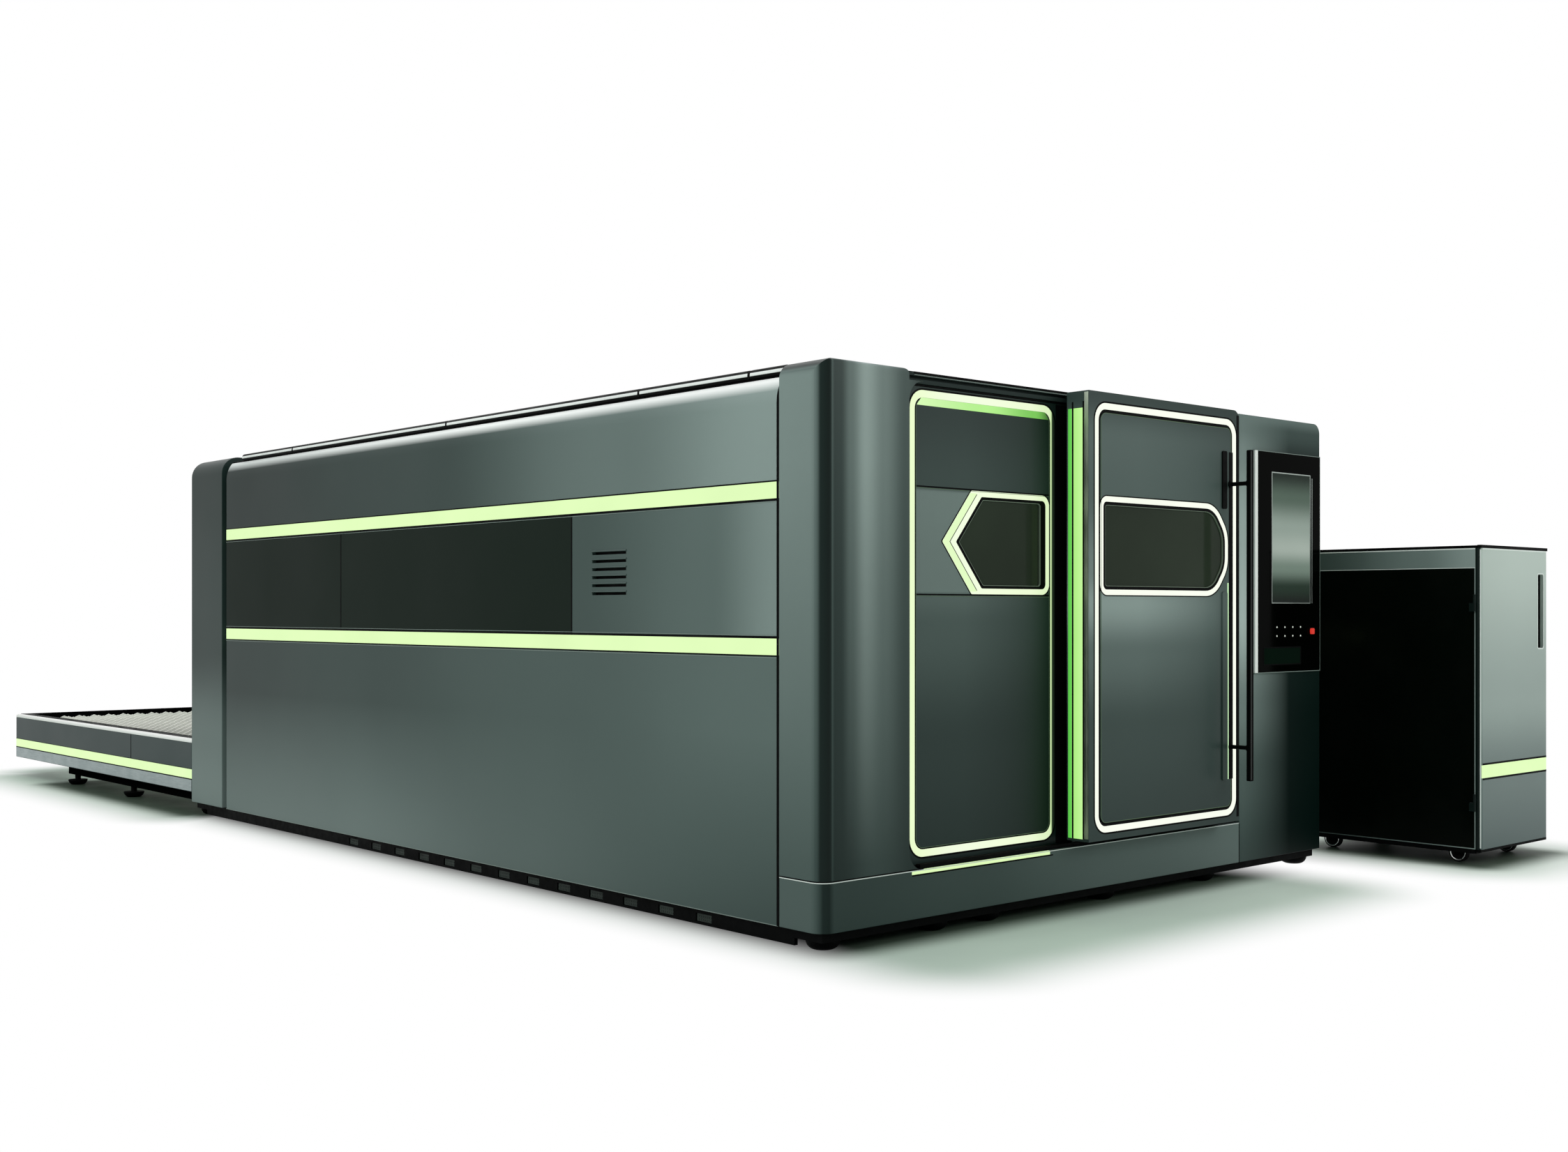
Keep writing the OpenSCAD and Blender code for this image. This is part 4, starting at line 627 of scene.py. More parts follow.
# Side panels: stripe borders, highlights painted along the panel edges and the seam at the post, on both
# sides
STRIPE_BORDERS = ((1041.5, 1046.8), (1107.2, 1116.0), (1605.0, 1613.8), (1674.2, 1679.5))
PANEL_HIGHLIGHTS = ((70.5, 73.5), (1036.5, 1039.0), (1118.5, 1120.5), (1601.0, 1603.0))
PANEL_FOOT = 71.0
SHOULDER_R, SHOULDER_Z, SHOULDER_END, SHOULDER_STEP = 150, 1960, 2056, 19
lines, pale, seams = Form(), Form(), Form()
for face, out in SIDES:
    for z in STRIPE_BORDERS:
        lines.box(skin(face, out, 1.0, 2.0), (PANEL_Y0, PANEL_Y1), z)
    for z in PANEL_HIGHLIGHTS:
        pale.box(skin(face, out, 0.9, 2.0), (PANEL_Y0 + 6, PANEL_Y1), z)
    path = [(face, PANEL_FOOT)]
    for z in range(SHOULDER_Z, SHOULDER_END, SHOULDER_STEP):
        path.append((face - out * (SHOULDER_R - math.sqrt(SHOULDER_R ** 2 - (z - SHOULDER_Z) ** 2)), z))
    proud = [(u + out * 0.9, v + 0.5) for u, v in path]
    seams.strip("front", path, proud, PANEL_Y0 + 0.4, PANEL_Y0 + 13.0)
lines.piece("side_stripe_borders", BLACK, "machine", "black_trim")
pale.piece("side_painted_highlights", PAINTED_HIGHLIGHT_GREY, "machine", "pale_rim")
seams.piece("post_panel_seam", BLACK, "machine", "black_trim")

# Left centre panels: seams, louvres, and black backing in the louvre slots painted as the shade inside them
CENTRE_SEAMS, CENTRE_Z = (1536.0, 3610.0), (1107.0, 1614.0)
LOUVRES, LOUVRE_Z, LOUVRE_PITCH = 6, 1272.0, 33.0
LOUVRE_Y0, LOUVRE_Y1 = 1152.0, 1387.0
LIP = ((1.0, 11.0), (-3.2, 12.0), (-4.4, 14.0), (-3.0, 17.0), (0.5, 18.5))
dark, lips = Form(), Form()
for y in CENTRE_SEAMS:
    dark.box((-0.7, 20.0), (y - 4.5, y + 4.5), CENTRE_Z)
for i in range(LOUVRES):
    z = LOUVRE_Z + LOUVRE_PITCH * i
    lips.slab("front", [(x, z + rise) for x, rise in LIP], LOUVRE_Y0 - 3, LOUVRE_Y1 + 3)
    dark.box((20.0, 29.0), (LOUVRE_Y0 - 2, LOUVRE_Y1 + 2), (z - 1, z + 13))
dark.piece("centre_seams_and_slot_shade", BLACK, "machine", "black_trim")
lips.piece("louvre_lips", VENT, "machine", "body_paint", 0.8)

# Roof: dark filler in the gaps between the covers
COVER_GAPS, COVER_INSET, COVER_Z = (431.0, 1113.0, 2617.0, 4235.0), 30.2, (2064.2, 2099.4)
gaps = Form()
for y in COVER_GAPS:
    gaps.slab("front", round_rect(*within((0.0, WIDTH), COVER_INSET), *COVER_Z, (0, 0, 20, 20)),
              y - 5.6, y + 5.6)
gaps.piece("roof_gap_fillers", BLACK, "machine", "black_trim")

# Base pan: a plate with two rows of studs in each slot
SLOTS, SLOT_Y, SLOT_PITCH, SLOT_Z = 13, 640.0, 236.0, (19.0, 49.0)
STUDS, STUD_ROWS, STUD_PITCH, STUD_SIZE, STUD_Z = 7, 2, 12.0, 7.0, 23.0
mesh = Form()
for i in range(SLOTS):
    y = SLOT_Y + SLOT_PITCH * i
    for face, out in ((30.0, -1.0), (WIDTH - 30.0, 1.0)):
        mesh.box(skin(face, out, 0.0, 5.4), (y + 2, y + 94), SLOT_Z)
        for k in range(STUDS):
            for q in range(STUD_ROWS):
                y0, z0 = y + 8 + STUD_PITCH * k, STUD_Z + STUD_PITCH * q
                mesh.box(skin(face, out, 1.6, 0.4), (y0, y0 + STUD_SIZE), (z0, z0 + STUD_SIZE))
mesh.piece("base_slot_mesh", MESH, "machine", "black_trim")

# Plinth: highlights painted along its upper edge round the corner and along its front, sill line and the
# joint to the cabinet
POST_R, POST_X, POST_Y = 60, 515.0, 223.0
CABINET_X = 2572.0


def corner_path(outside):
    """A line round the post's foot, at a distance outside it."""
    r = POST_R + outside
    bend = [math.radians(a) for a in range(0, 91, 9)]
    return ([(-outside, POST_Y)] + [(POST_R - r * math.cos(a), POST_R - r * math.sin(a)) for a in bend]
            + [(POST_X, -outside)])


for name, material, slot, z in (("plinth_painted_highlight", PALE_HIGHLIGHT, "pale_rim", (247.0, 250.4)),
                                ("post_foot_line", BLACK, "black_trim", (250.8, 255.0))):
    Form().strip("top", corner_path(0.0), corner_path(1.0), *z).piece(name, material, "machine", slot)
joint = Form()
joint.box((CABINET_X + 1.0, CABINET_X + 6.0), (-0.8, 1.0), (71.0, 249.0))
joint.box((455.0, 1262.0), (-0.7, 2.0), (229.5, 234.5))
joint.piece("plinth_joint_lines", BLACK, "machine", "black_trim")
Form().box((POST_X, CABINET_X), (-0.8, 1.0), (246.6, 249.6)).piece(
    "plinth_front_painted_highlight", PALE_HIGHLIGHT, "machine", "pale_rim")

# Header: a highlight painted along its edge, and the shadow gap above the doors
HEADER_X = (517.0, 2570.0)
Form().box(HEADER_X, (49.0, 52.0), (2087.0, 2090.0)).piece(
    "header_painted_highlight", PAINTED_HIGHLIGHT_GREY, "machine", "pale_rim")
Form().box(HEADER_X, (48.8, 52.0), (2091.0, 2100.0)).piece(
    "header_top_line", BLACK, "machine", "black_trim")

# Console: a highlight painted down its left side with a black filler, highlights painted along its other
# edges, display frames, button lenses and stop bezel
CONSOLE_X, CONSOLE_Z, RIM_Y = (2684.0, 3242.0), (924.0, 1941.0), (-10.6, -0.2)
EDGE_END, FILLER_X = 2708.0, (2708.4, 2723.6)
SCREEN_X, SCREEN_Z = (2824.6, 3155.4), (1241.6, 1850.4)
STATUS_X, STATUS_Z = (2756.0, 3074.0), (956.0, 1041.0)
STOP_X, STOP_Z = (3144.0, 3180.0), (1093.5, 1129.5)
LENS_X, LENS_Y, LENS_Z, LENS_COLUMNS = 2866.0, -12.0, 1091.0, 4
LENS_PITCH = (67.0, 41.0)
LENS_DOME = [(3.7, 0.6), (3.7, -0.4), (3.1, -1.2), (1.8, -1.7), (0.0, -1.9)]
Form().slab("top", round_rect(CONSOLE_X[0], EDGE_END, -13.0, -0.2, (1, 1, 4, 4)), *CONSOLE_Z).piece(
    "console_left_painted_highlight", PALE_RIM_AND_HIGHLIGHT, "machine", "pale_rim", 1.0)
Form().box(FILLER_X, (-10.4, -0.2), CONSOLE_Z).piece(
    "console_left_infill", CONSOLE, "machine", "console_glass", 0.6)
rim = Form()
for z in ((1940.2, 1943.4), (921.6, 924.8)):
    rim.box(CONSOLE_X, RIM_Y, z)
rim.box((3240.2, 3242.2), RIM_Y, (922.0, 1943.0))
rim.piece("console_painted_highlights", PAINTED_HIGHLIGHT_GREY, "machine", "pale_rim", 0.4)
display = Form().border(SCREEN_X, SCREEN_Z, 5.0, (2, 1), (-11.2, -9.0))
display.box((3168.0, 3172.4), (-11.0, -9.4), (1244.0, 1836.0))
display.piece("screen_border", SCREEN_METAL, "machine", "pale_rim", 0.4)
Form().border(STATUS_X, STATUS_Z, 6.0, (5, 3), (-11.0, -9.2)).piece(
    "status_frame", BLACK, "machine", "black_trim", 0.5)
for i in range(BUTTONS):
    row, column = divmod(i, LENS_COLUMNS)
    place = (LENS_X + LENS_PITCH[0] * column, LENS_Y, LENS_Z + LENS_PITCH[1] * row)
    Form().lathe(place, "y", LENS_DOME, 20).piece(
        f"button_lens_{i + 1}", LENS, f"button_{i + 1}", "button_lens")
Form().border(STOP_X, STOP_Z, 3.0, (9, 7), (-12.4, -9.4)).piece(
    "stop_bezel", BLACK, "machine", "black_trim", 0.8)

# Rear portal and right side: fasteners, panel seams and quarter turns
PORTAL_SCREW_X, PORTAL_SCREW_Z = (60, WIDTH - 60), (260, 760, 1260, 1760)
SIDE_SCREW_Y, SIDE_SCREW_Z = (300, 1480, 2620, 3760, 4940), (130, 985, 1150, 1570)
RIGHT_SEAMS, RIGHT_LOCKS, LOCK_Z = (1420.0, 2620.0, 3820.0), (2480.0, 3680.0), 560.0
SEAM_X, SEAM_HALF, RIGHT_PANELS = (WIDTH - 1.0, WIDTH + 0.8), 2.5, ((1113.0, 1608.0), (76.0, 1040.0))
LOCK_TURN = [(20, 0.0), (20, 2.0), (17, 4.0), (11, 4.0), (11, 2.5), (0.0, 2.5)]
heads = Form()
screws(heads, [(x, LENGTH, z) for x in PORTAL_SCREW_X for z in PORTAL_SCREW_Z], "y", 1.0)
screws(heads, [(WIDTH, y, z) for y in SIDE_SCREW_Y for z in SIDE_SCREW_Z], "x", 1.0)
heads.piece("panel_screws", STEEL, "machine", "machined_steel")
panel = Form()
for y in RIGHT_SEAMS:
    for z in RIGHT_PANELS:
        panel.box(SEAM_X, (y - SEAM_HALF, y + SEAM_HALF), z)
panel.box(SEAM_X, (222.0, 227.0), (PANEL_FOOT, SHOULDER_Z))
panel.piece("right_panel_seams", BLACK, "machine", "black_trim")
lock = Form()
for y in RIGHT_LOCKS:
    lock.lathe((WIDTH, y, LOCK_Z), "x", LOCK_TURN, 28)
    lock.box((WIDTH + 2.4, WIDTH + 5.0), (y - 2, y + 2), (LOCK_Z - 8.0, LOCK_Z + 8.0))
lock.piece("panel_quarter_turns", BLACK, "machine", "black_trim", 0.5)

# Left leaf: channels round the light ring, green highlights painted along the panel edges, and the ring's
# green glow painted on the panel under the ring's top
INNER_Y = 60.0
INNER_X, INNER_Z = (502.5, 1345.5), (284.5, 2036.5)
RING_R = 72.0
INNER_LINES = (1266.0, 1672.0)
FINE_LINES = (1264.0, 1670.2)


def ring(x, z, inset):
    return round_rect(*within(x, inset), *within(z, inset), max(RING_R - inset, 2.0))


channel = Form()
for first, last in ((-7.0, -0.3), (28.3, 33.0)):
    channel.band("front", ring(INNER_X, INNER_Z, first), ring(INNER_X, INNER_Z, last),
                 INNER_Y - 0.9, INNER_Y + 2)
for z in INNER_LINES:
    channel.box(within(INNER_X, 33), (INNER_Y - 0.4, INNER_Y + 3.5), (z, z + 6.0))
channel.box((INNER_X[1] + 7.2, 1428.0), (INNER_Y - 0.6, INNER_Y + 1), (264.0, 2044.0))
channel.piece("left_leaf_channels", BLACK, "left_leaf", "black_trim")
fine = Form()
fine.band("front", ring(INNER_X, INNER_Z, 33.2), ring(INNER_X, INNER_Z, 35.2), INNER_Y - 0.6, INNER_Y + 1)
for z in FINE_LINES:
    fine.box(within(INNER_X, 36), (INNER_Y - 0.5, INNER_Y + 1.0), (z - 1.6, z + 0.2))
fine.piece("left_leaf_painted_highlights", GREEN_EDGE_HIGHLIGHT, "left_leaf", "dark_panel")
top = INNER_Z[1] - 33.0
wash = [(INNER_X[0] + 38, top - 24), (INNER_X[1] - 38, top - 24), (INNER_X[1] - 62, top + 4.4),
        (INNER_X[0] + 62, top + 4.4)]
Form().slab("front", wash, INNER_Y - 1.4, INNER_Y + 1).piece(
    "left_leaf_painted_glow", PAINTED_RING_GLOW, "left_leaf", "lime_light", 0.4)

# Left window: lit chevron at its point, dark border and fine line
WINDOW_Z, WINDOW_HALF, WINDOW_R = 1472.0, 200.0, 44.0  # the right window's too
POINT_X, INNER_END = 679.5, 1311.5
SLOPE = 165.0 / 200.0
LEAN = math.sqrt(1 + SLOPE ** 2)


def inner_window(inset, point, right=None, r=None):
    """The left window's outline, moved in from its edges, from its point and from its right end."""
    half = WINDOW_HALF - inset
    tip = POINT_X + point * LEAN
    end = INNER_END - (inset if right is None else right)
    r = max(WINDOW_R - inset, 8.0) if r is None else r
    low, high = WINDOW_Z - half, WINDOW_Z + half
    return soft_outline([(tip, WINDOW_Z), (tip + SLOPE * half, low), (end, low), (end, high),
                         (tip + SLOPE * half, high)], [6, 12, r, r, 12])


def chevron(point, half):
    tip = POINT_X + point * LEAN
    return [(tip + SLOPE * half, WINDOW_Z - half), (tip, WINDOW_Z), (tip + SLOPE * half, WINDOW_Z + half)]


Form().strip("front", chevron(1.5, 190), chevron(31.0, 190), INNER_Y - 0.9, INNER_Y + 1).piece(
    "left_window_chevron", PALE_GREEN, "left_leaf", "lime_light", 0.3)
Form().strip("front", chevron(31.4, 186), chevron(34.4, 186), INNER_Y - 0.8, INNER_Y + 1).piece(
    "left_window_chevron_line", DEEP, "left_leaf", "black_trim")
glass = Form()
glass.band("front", inner_window(-5.0, -5.0), inner_window(-0.3, -0.3), INNER_Y - 0.8, INNER_Y + 1)
glass.band("front", inner_window(22.2, 60.2), inner_window(33.0, 73.0, 52.0, 14),
           INNER_Y + 0.6, INNER_Y + 8.6)
glass.piece("left_window_border", BLACK, "left_leaf", "black_trim")
Form().band("front", inner_window(33.2, 73.2, 52.2, 14), inner_window(35.6, 75.6, 54.6, 13),
            INNER_Y + 1.4, INNER_Y + 8.4).piece("left_window_fine_line", WINDOW_LINE, "left_leaf", "pale_rim")

# Right leaf: channels, a green highlight painted along the panel edge, window border, metal leading edge and
# the margin beside the ring
OUTER_Y = -95.0
OUTER_X, OUTER_Z = (1408.5, 2406.0), (311.0, 2048.0)
OUTER_START, OUTER_END = 1442.5, 2344.0
# The cut corners of the right window, and how they shrink with the inset
CUT_X, CUT_Z, CUT_X_STEP, CUT_Z_STEP, CUT_R = 96.0, 122.0, 0.514, 0.654, 140.0
channel = Form()
channel.band("front", ring(OUTER_X, OUTER_Z, -7.0), ring(OUTER_X, OUTER_Z, -0.3), OUTER_Y - 0.8, OUTER_Y + 2)
channel.band("front", ring(OUTER_X, OUTER_Z, 25.2), ring(OUTER_X, OUTER_Z, 38.8),
             OUTER_Y + 3.6, OUTER_Y + 5.9)
channel.piece("right_leaf_channels", BLACK, "right_leaf", "black_trim")
Form().band("front", ring(OUTER_X, OUTER_Z, 39.2), ring(OUTER_X, OUTER_Z, 41.4),
            OUTER_Y - 0.6, OUTER_Y + 1).piece(
    "right_leaf_painted_highlight", GREEN_EDGE_HIGHLIGHT, "right_leaf", "dark_panel")


def outer_window(inset):
    """The right window's outline, moved in from its edges."""
    left, end = OUTER_START + inset, OUTER_END - inset
    half = WINDOW_HALF - inset
    cut = (CUT_X - inset * CUT_X_STEP, CUT_Z - inset * CUT_Z_STEP)
    end_r = max(WINDOW_R - inset, 10.0)
    slant = max(CUT_R - inset, 20.0)
    low, high = WINDOW_Z - half, WINDOW_Z + half
    return soft_outline([(left, low), (end - cut[0], low), (end, low + cut[1]), (end, high - cut[1]),
                         (end - cut[0], high), (left, high)], [end_r, slant, slant, slant, slant, end_r])


glass = Form()
glass.band("front", outer_window(-5.0), outer_window(-0.3), OUTER_Y - 0.8, OUTER_Y + 3)
glass.band("front", outer_window(22.2), outer_window(35.0), OUTER_Y + 0.6, OUTER_Y + 8.6)
glass.piece("right_window_border", BLACK, "right_leaf", "black_trim")
Form().band("front", outer_window(35.2), outer_window(37.4), OUTER_Y + 1.4, OUTER_Y + 8.4).piece(
    "right_window_fine_line", WINDOW_LINE, "right_leaf", "pale_rim")
LEAD_X, LEAD_Z0 = 1371.4, 292.0
MARGIN_STRIP = ((2409.5, 2428.0), (-95.6, -94.0), (300.0, 2070.0))
lead = Form()
lead.box((1369.6, LEAD_X), (-92.0, -72.0), (LEAD_Z0, 2086.0))
lead.box((1368.9, LEAD_X), (-84.0, -80.5), (LEAD_Z0, 2086.0))
lead.piece("right_leaf_leading_edge", GUN, "right_leaf", "machined_steel", 0.4)
dark = Form()
for y in ((-71.5, -64.0), (-16.5, -9.6)):
    dark.box((1369.4, LEAD_X), y, (LEAD_Z0, 2050.0))
dark.piece("right_leaf_edge_lines", BLACK, "right_leaf", "black_trim")
Form().box(*MARGIN_STRIP).piece(
    "right_leaf_margin_strip", BLACK, "right_leaf", "black_trim", 0.3)

# Handle: a highlight painted down its front, collars, a black strip painted as its shadow on the leaf, the
# bumper strip's cover, and a glowing line painted as a green highlight beside it
HANDLE_X, HANDLE_BACK = 2360.0, -186.0
COLLAR_Z = (611.0, 1763.0)
FRONT_HIGHLIGHT = ((2352.5, 2357.0), (-205.7, -204.0), (473.0, 1901.0))
HANDLE_SHADOW = ((2349.8, 2380.4), (-95.7, -94.0), (470.0, 1904.0))
PAINTED_GLOW_LINE = ((2338.5, 2347.5), (-96.4, -94.0), (470.0, 1330.0))
BUMPER_X, BUMPER_Z, BUMPER_R = (2295.4, 2332.6), (466.4, 1290.6), 8.6
LEAF_COLLAR = [(9.2, 0.0), (15.5, 0.0), (15.5, -5.0), (13.5, -8.0), (9.2, -8.0)]
BAR_COLLAR = [(9.2, 0.0), (12.5, 0.0), (12.5, 6.0), (11.0, 8.0), (9.2, 8.0)]
Form().box(*FRONT_HIGHLIGHT).piece(
    "handle_painted_highlight", HIGHLIGHT_METAL, "right_leaf", "machined_steel", 0.4)
collar = Form()
for z in COLLAR_Z:
    collar.lathe((HANDLE_X, OUTER_Y, z), "y", LEAF_COLLAR, 28)
    collar.lathe((HANDLE_X, HANDLE_BACK, z), "y", BAR_COLLAR, 28)
collar.piece("handle_collars", BLACK, "right_leaf", "black_trim", 0.5)
Form().box(*HANDLE_SHADOW).piece(
    "handle_painted_shadow", BLACK, "right_leaf", "black_trim", 0.3)
Form().slab("front", round_rect(*BUMPER_X, *BUMPER_Z, BUMPER_R), -101.6, -94.6).piece(
    "bumper_strip_cover", LEAF_OUT, "right_leaf", "body_paint", 1.5)
Form().box(*PAINTED_GLOW_LINE).piece(
    "handle_green_painted_highlight", GREEN_HIGHLIGHT, "right_leaf", "lime_light", 0.4)

# Cutting axes: nozzle, head rings, rail plugs and carriage screws
HEAD_X, HEAD_Y, TIP_Z = 1288.0, 2312.2, 578.0
NOZZLE = [(2.0, -0.4), (5.6, -0.4), (7.5, 3.0), (16.8, 29.6), (20.0, 30.6), (20.0, 34.0), (12.0, 34.0)]
HEAD_RINGS = ((62.0, 39.0), (104.0, 39.0), (116.0, 55.5), (330.0, 55.5), (454.0, 55.5))
RAIL_X, RAIL_TOP, PLUG_Y = (87.5, 2488.5), 678.0, range(380, 4960, 240)
PLUG = [(9.0, -0.5), (9.0, 0.15), (7.6, 0.2), (7.2, 0.05), (0.0, 0.05)]
CARRIAGE_Y, CARRIAGE_SCREW_X, CARRIAGE_SCREW_Z = 2413.6, (-130, 130), (822, 885, 970, 1034)
Form().lathe((HEAD_X, HEAD_Y, TIP_Z), "z", NOZZLE, 32).piece(
    "nozzle_copper", COPPER, "head", "head_alloy", 0.5)
rings = Form()
for z, r in HEAD_RINGS:
    hoop = [(r - 1.0, 0.0), (r + 1.6, 0.6), (r + 1.6, 5.4), (r - 1.0, 6.0)]
    rings.lathe((HEAD_X, HEAD_Y, TIP_Z + z), "z", hoop, 40)
rings.piece("head_rings", BLACK, "head", "black_trim")
plugs = Form()
for x in RAIL_X:
    for y in PLUG_Y:
        plugs.lathe((x, y, RAIL_TOP), "z", PLUG, 20)
plugs.piece("rail_plugs", BLACK, "machine", "black_trim")
heads = Form()
screws(heads, [(HEAD_X + x, CARRIAGE_Y, z) for x in CARRIAGE_SCREW_X for z in CARRIAGE_SCREW_Z],
       "y", -1.0, 8.0)
heads.piece("carriage_screws", STEEL, "carriage", "machined_steel")

# Exchange table: stripe borders, brushed lower band, rim details and seam
TABLE_Y0, TABLE_Y1, TABLE_W = 5520.0, 8779.0, 2576.0
SKIRT_SEAM = (6491.5, 6497.0)
CLIPS, CLIP_Y, CLIP_PITCH, CLIP_L = 9, 5760.0, 330.0, 16
STRIP_Z = (421.0, 445.6)
END_BOLT_X, END_BOLT_Z = (120, 900, 1676, 2456), (165, 380)
lines, brushed, inner, seam = Form(), Form(), Form(), Form()
for face, out in ((0.0, -1.0), (TABLE_W, 1.0)):
    x = skin(face, out, 0.9, 2.0)
    brushed.box(skin(face, out, 0.6, 2.0), (TABLE_Y0 + 2, TABLE_Y1 - 1), (131.0, 199.0))
    lines.box(x, (TABLE_Y0 + 1, TABLE_Y1), (199.4, 205.8))
    seam.box(x, (TABLE_Y0 + 1, TABLE_Y1), (262.2, 267.0))
    lines.box(x, SKIRT_SEAM, (267.0, 419.0))
    inner.box(skin(face, out, -24.4, 78.0), (TABLE_Y0 + 4, TABLE_Y1 - 30), STRIP_Z)
    for k in range(CLIPS):
        y = CLIP_Y + CLIP_PITCH * k
        seam.box(skin(face, out, -30.0, 50.0), (y, y + CLIP_L), (445.0, 447.2))
inner.box((24.4, TABLE_W - 24.4), (TABLE_Y1 - 58.0, TABLE_Y1 - 26.0), STRIP_Z)
lines.piece("table_lines", BLACK, "machine", "black_trim")
seam.piece("table_stripe_upper_line", DEEP, "machine", "black_trim")
brushed.piece("table_brushed_band", BRUSHED, "machine", "machined_steel")
inner.piece("table_inner_strip", BLACK, "machine", "black_trim", 1.0)
bolts = Form()
screws(bolts, [(x, TABLE_Y1, z) for x in END_BOLT_X for z in END_BOLT_Z], "y", 1.0, 8.0)
bolts.piece("table_end_bolts", STEEL, "machine", "machined_steel")

# Cooling unit: lid, side inserts, frame lines painted as edge highlights, skirt, stripe borders, grip slot
# with a highlight painted round it, an edge line painted as a highlight, and wheel hubs
CX0, CX1, CY0, CY1 = 3707.0, 4412.0, -575.0, 325.0
CORNER, BORDER_Z, BORDER_H = 16, (407.8, 478.2), 9.0
LID_Z, CAP_Z = (1505.0, 1518.0), (1505.2, 1520.0)
GRIP_X, GRIP_Z, GRIP_FLOOR = (4296.0, 4368.0), (1018.0, 1394.0), 7.0
EDGE_ROD = [(0.0, -706.0), (3.2, -706.0), (3.2, 706.0), (0.0, 706.0)]
CASTER_PLACES, WHEEL_Z, WHEEL_HALF = ((3810, -418), (4309, -418), (3810, 248), (4309, 248)), 45.0, 16.0
HUB = ((38.0, -1.0), (38.0, 1.2), (35.5, 1.2), (33.0, -0.6), (12.0, -0.6), (12.0, 1.6), (0.0, 1.6))
Form().slab("top", round_rect(CX0 - 0.5, CX1 + 0.5, CY0 + 22, CY1 + 0.5, 6), *LID_Z).piece(
    "cooler_lid", BLACK, "machine", "black_trim", 1.0)
Form().slab("top", round_rect(CX0 + 1, CX1 - 0.5, CY0 - 0.5, CY0 + 20.5, 3), *CAP_Z).piece(
    "cooler_door_cap", BLACK, "cooler_door", "black_trim", 1.0)
insert, frame_line = Form(), Form()
for face, out in ((CX0, -1.0), (CX1, 1.0)):
    insert.slab("side", round_rect(CY0 + 32.6, CY1 - 29.6, 84.6, 1409.4, 2), *skin(face, out, -1.5, 5.9))
    thin = skin(face, out, 0.6, 1.0)
    frame_line.box(thin, (CY0 + 28.4, CY1 - 29.0), (1410.4, 1413.0))
    frame_line.box(thin, (CY0 + 28.4, CY1 - 26.0), (1499.0, 1504.4))
insert.piece("cooler_side_inserts", INSERT, "machine", "black_trim", 0.8)
frame_line.piece("cooler_frame_painted_highlights", PALE_HIGHLIGHT, "machine", "pale_rim")
Form().band("top", round_rect(CX0 + 3, CX1 - 3, CY0 + 31, CY1 - 3, 20),
            round_rect(CX0 + 17, CX1 - 17, CY0 + 45, CY1 - 17, 8), 58.0, 80.0).piece(
    "cooler_chassis_skirt", BLACK, "machine", "black_trim", 1.0)
Form().box((CX0 + 6, CX1 - 6), (CY0 + 3, CY0 + 26), (66.0, 80.0)).piece(
    "cooler_door_lower_edge", BLACK, "cooler_door", "black_trim", 2.0)
stripe = Form()
for z in BORDER_Z:
    stripe.box((CX0 + CORNER, CX1 - CORNER), (CY0 - 0.8, CY0 + 1), (z, z + BORDER_H))
stripe.piece("cooler_stripe_borders", BLACK, "cooler_door", "black_trim")
Form().border(GRIP_X, GRIP_Z, 6.0, (14, 9), (CY0 - 1.2, CY0 + 2)).piece(
    "cooler_slot_painted_highlight", PALE_HIGHLIGHT, "cooler_door", "pale_rim", 0.6)
grip = round_rect(*within(GRIP_X, GRIP_FLOOR), *within(GRIP_Z, GRIP_FLOOR), 8)
Form().slab("front", grip, CY0 + 14.0, CY0 + 19.0).piece(
    "cooler_slot_floor", BLACK, "cooler_door", "black_trim", 1.0)
corner = Form()
corner.lathe((CX0 + 6.6, CY0 + 6.6, 792.0), "z", EDGE_ROD, 12)
corner.box((CX0 + CORNER, CX1 - CORNER), (CY0 - 0.7, CY0 + 1.0), (1498.4, 1504.4))
corner.piece("cooler_door_painted_highlight", PALE_HIGHLIGHT, "cooler_door", "pale_rim", 0.3)
for i, (x, y) in enumerate(CASTER_PLACES):
    hub = Form()
    for out in (-1.0, 1.0):
        hub.lathe((x + out * WHEEL_HALF, y, WHEEL_Z), "x", [(r, out * t) for r, t in HUB], 36)
    hub.piece(f"caster_hub_{i + 1}", BRIGHT, f"wheel_{i + 1}", "machined_steel")

# Camera, at the photograph's angle and framing

EYE = (-6.188, -8.387, 1.2065)
SIGHT_X, SIGHT_Y = 0.6641, 0.7477
cam = bpy.data.cameras.new("camera")
cam.lens = 38.39
cam.sensor_width = 36.0
cam.sensor_fit = "HORIZONTAL"
cam.shift_y = 0.0224
cam.clip_end = 300
eye = bpy.data.objects.new("camera", cam)
eye.location = EYE
eye.rotation_euler = (math.pi / 2, 0.0, -math.atan2(SIGHT_X, SIGHT_Y))
scene.collection.objects.link(eye)
scene.camera = eye


# World and floor

def math_node(nt, operation, a, b):
    step = nt.nodes.new("ShaderNodeMath")
    step.operation = operation
    link(nt, a, step.inputs[0])
    link(nt, b, step.inputs[1])
    return step.outputs[0]


def plain_view(nt):
    """1 on rays that show the backdrop: seen straight, in a reflection or through glass."""
    path = nt.nodes.new("ShaderNodeLightPath").outputs
    seen = math_node(nt, "MAXIMUM", path["Is Camera Ray"], path["Is Glossy Ray"])
    return math_node(nt, "MAXIMUM", seen, path["Is Transmission Ray"])


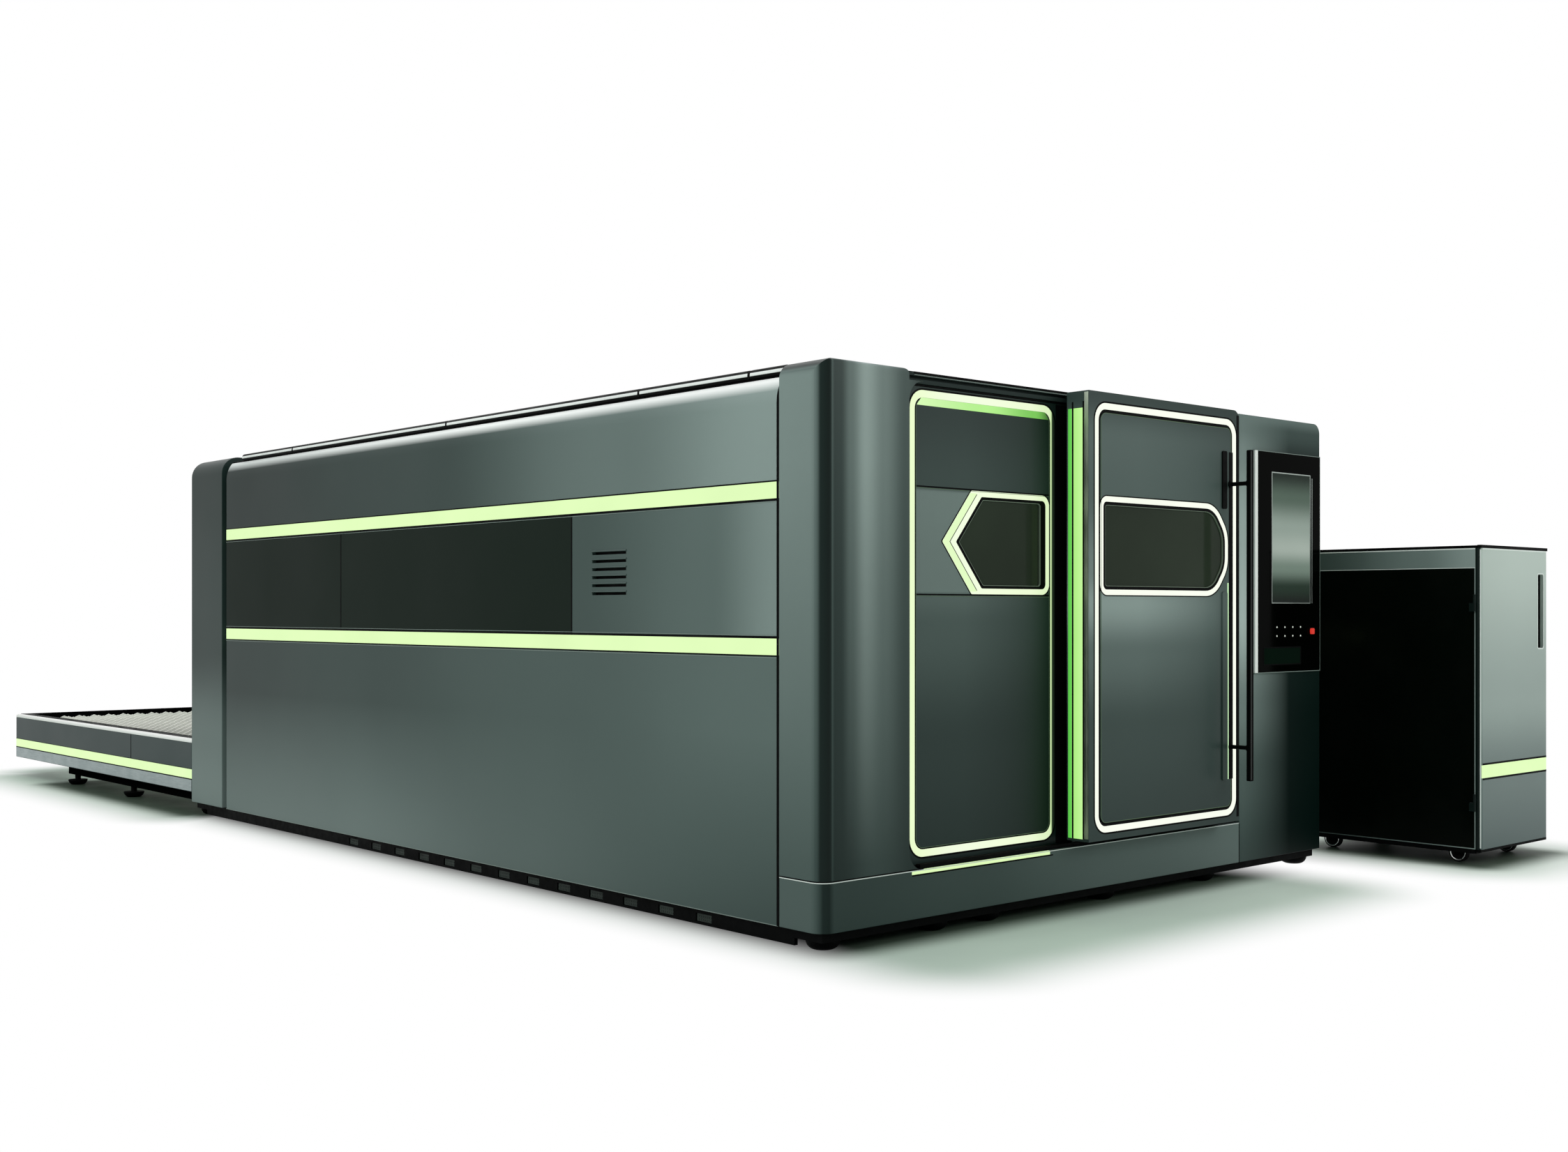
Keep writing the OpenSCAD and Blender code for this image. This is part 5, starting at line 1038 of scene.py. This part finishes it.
AMBIENT, BACKDROP = 0.5, 1.0
world = bpy.data.worlds.new("studio")
scene.world = world
world.use_nodes = True
nt = world.node_tree
level = nt.nodes.new("ShaderNodeMapRange")
level.inputs["To Min"].default_value = AMBIENT
level.inputs["To Max"].default_value = BACKDROP
link(nt, plain_view(nt), level.inputs["Value"])
link(nt, level.outputs["Result"], nt.nodes["Background"].inputs["Strength"])
nt.nodes["Background"].inputs["Color"].default_value = even(1.0)

# Floor rectangles in metres, and the distances over which their painted contact shadow and their real shadow
# fade
COOLER_FOOT = ((1.52, 2.19), (-4.66, -3.8))
SHADED = [((-2.17, 1.02), (-4.07, 1.38)), COOLER_FOOT, ((-2.24, 0.3), (1.38, 3.7))]
SHADE_REACH = (0.0, 0.22)
SHADOWED = [((-1.95, 0.3), (-4.46, 4.677)), COOLER_FOOT, ((-2.2, 0.3), (1.38, 4.4))]
SHADOW_REACH = (0.05, 0.6)
SHADE = (0.1, 0.12, 0.1, 1.0)
FLOOR_SPAN = (-2.6, 2.4)
# Painted shadow across the floor: darker to the left, lighter to the right
FLOOR_TONES = [(0.0, (190, 208, 196)), (0.3, (204, 224, 210)), (0.65, (230, 248, 234)),
               (1.0, (236, 249, 239))]
FLOOR_SIZE = 120.0


def away(nt, coord, x, y):
    """Distance on the floor from a rectangle."""
    middle = ((x[0] + x[1]) / 2, (y[0] + y[1]) / 2, 0.0)
    half = ((x[1] - x[0]) / 2, (y[1] - y[0]) / 2, 0.0)
    out = coord
    for operation, value in (("SUBTRACT", middle), ("ABSOLUTE", None), ("SUBTRACT", half),
                             ("MAXIMUM", (0.0, 0.0, 0.0)), ("LENGTH", None)):
        step = nt.nodes.new("ShaderNodeVectorMath")
        step.operation = operation
        link(nt, out, step.inputs[0])
        if value:
            step.inputs[1].default_value = value
        out = step.outputs["Value" if operation == "LENGTH" else "Vector"]
    return out


def nearest(nt, coord, rectangles, start, end):
    """0 to 1 over a distance from the nearest of some rectangles."""
    least = away(nt, coord, *rectangles[0])
    for rectangle in rectangles[1:]:
        least = math_node(nt, "MINIMUM", least, away(nt, coord, *rectangle))
    rise = nt.nodes.new("ShaderNodeMapRange")
    rise.interpolation_type = "SMOOTHSTEP"
    rise.inputs["From Min"].default_value = start
    rise.inputs["From Max"].default_value = end
    link(nt, least, rise.inputs["Value"])
    return rise.outputs["Result"]


def floor_material():
    """Pale floor that keeps the object's shadow near it and turns into the white backdrop further out."""
    m, nt, bsdf, coord = shader("floor_pale", 0.1)
    tones = tone(nt, coord, FLOOR_TONES, "X", FLOOR_SPAN)
    # Painted contact shadow: the floor darkens near the shaded rectangles
    shade = blend(nt, nearest(nt, coord, SHADED, *SHADE_REACH), SHADE, even(1.0))
    cloud = blend(nt, spread(nt, noise(nt, coord, 0.6, 4.0), 0.0, 1.0), even(0.97), even(1.0))
    shaded = blend(nt, 1.0, tones, shade, "MULTIPLY")
    link(nt, blend(nt, 1.0, shaded, cloud, "MULTIPLY"), bsdf.inputs["Base Color"])
    rub(nt, bsdf, coord, 3.0, 4.0, 0.45, 0.6)
    fade = nearest(nt, coord, SHADOWED, *SHADOW_REACH)
    glow = nt.nodes.new("ShaderNodeEmission")
    mix = nt.nodes.new("ShaderNodeMixShader")
    link(nt, math_node(nt, "MULTIPLY", fade, plain_view(nt)), mix.inputs["Fac"])
    link(nt, bsdf.outputs["BSDF"], mix.inputs[1])
    link(nt, glow.outputs["Emission"], mix.inputs[2])
    link(nt, mix.outputs["Shader"], nt.nodes["Material Output"].inputs["Surface"])
    return m


ground = bpy.data.meshes.new("floor")
corners = [(x * FLOOR_SIZE, y * FLOOR_SIZE, 0) for x, y in ((-1, -1), (1, -1), (1, 1), (-1, 1))]
ground.from_pydata(corners, [], [(0, 1, 2, 3)])
ground.materials.append(floor_material())
floor = bpy.data.objects.new("floor", ground)
scene.collection.objects.link(floor)

# Soft light: name, place, aim, size and power of each lamp

LIGHTS = (
    ("key_left", (-9.0, -3.0, 6.0), (-1.0, -0.5, 0.9), (4.5, 4.0), 330),
    ("front", (4.5, -11.0, 5.0), (0.6, -3.5, 1.2), (4.0, 3.0), 190),
    ("top", (0.0, 0.0, 9.0), (0.0, 0.0, 0.0), (7.0, 10.0), 260),
    ("rim", (-1.0, 9.5, 9.0), (-0.5, 1.0, 1.5), (7.0, 3.0), 120),
)
for name, place, aim, size, power in LIGHTS:
    data = bpy.data.lights.new(name, "AREA")
    data.shape = "RECTANGLE"
    data.size, data.size_y = size
    data.energy = power
    obj = bpy.data.objects.new(name, data)
    obj.location = place
    obj.rotation_euler = (Vector(aim) - Vector(place)).to_track_quat("-Z", "Y").to_euler()
    obj.visible_camera = False
    scene.collection.objects.link(obj)
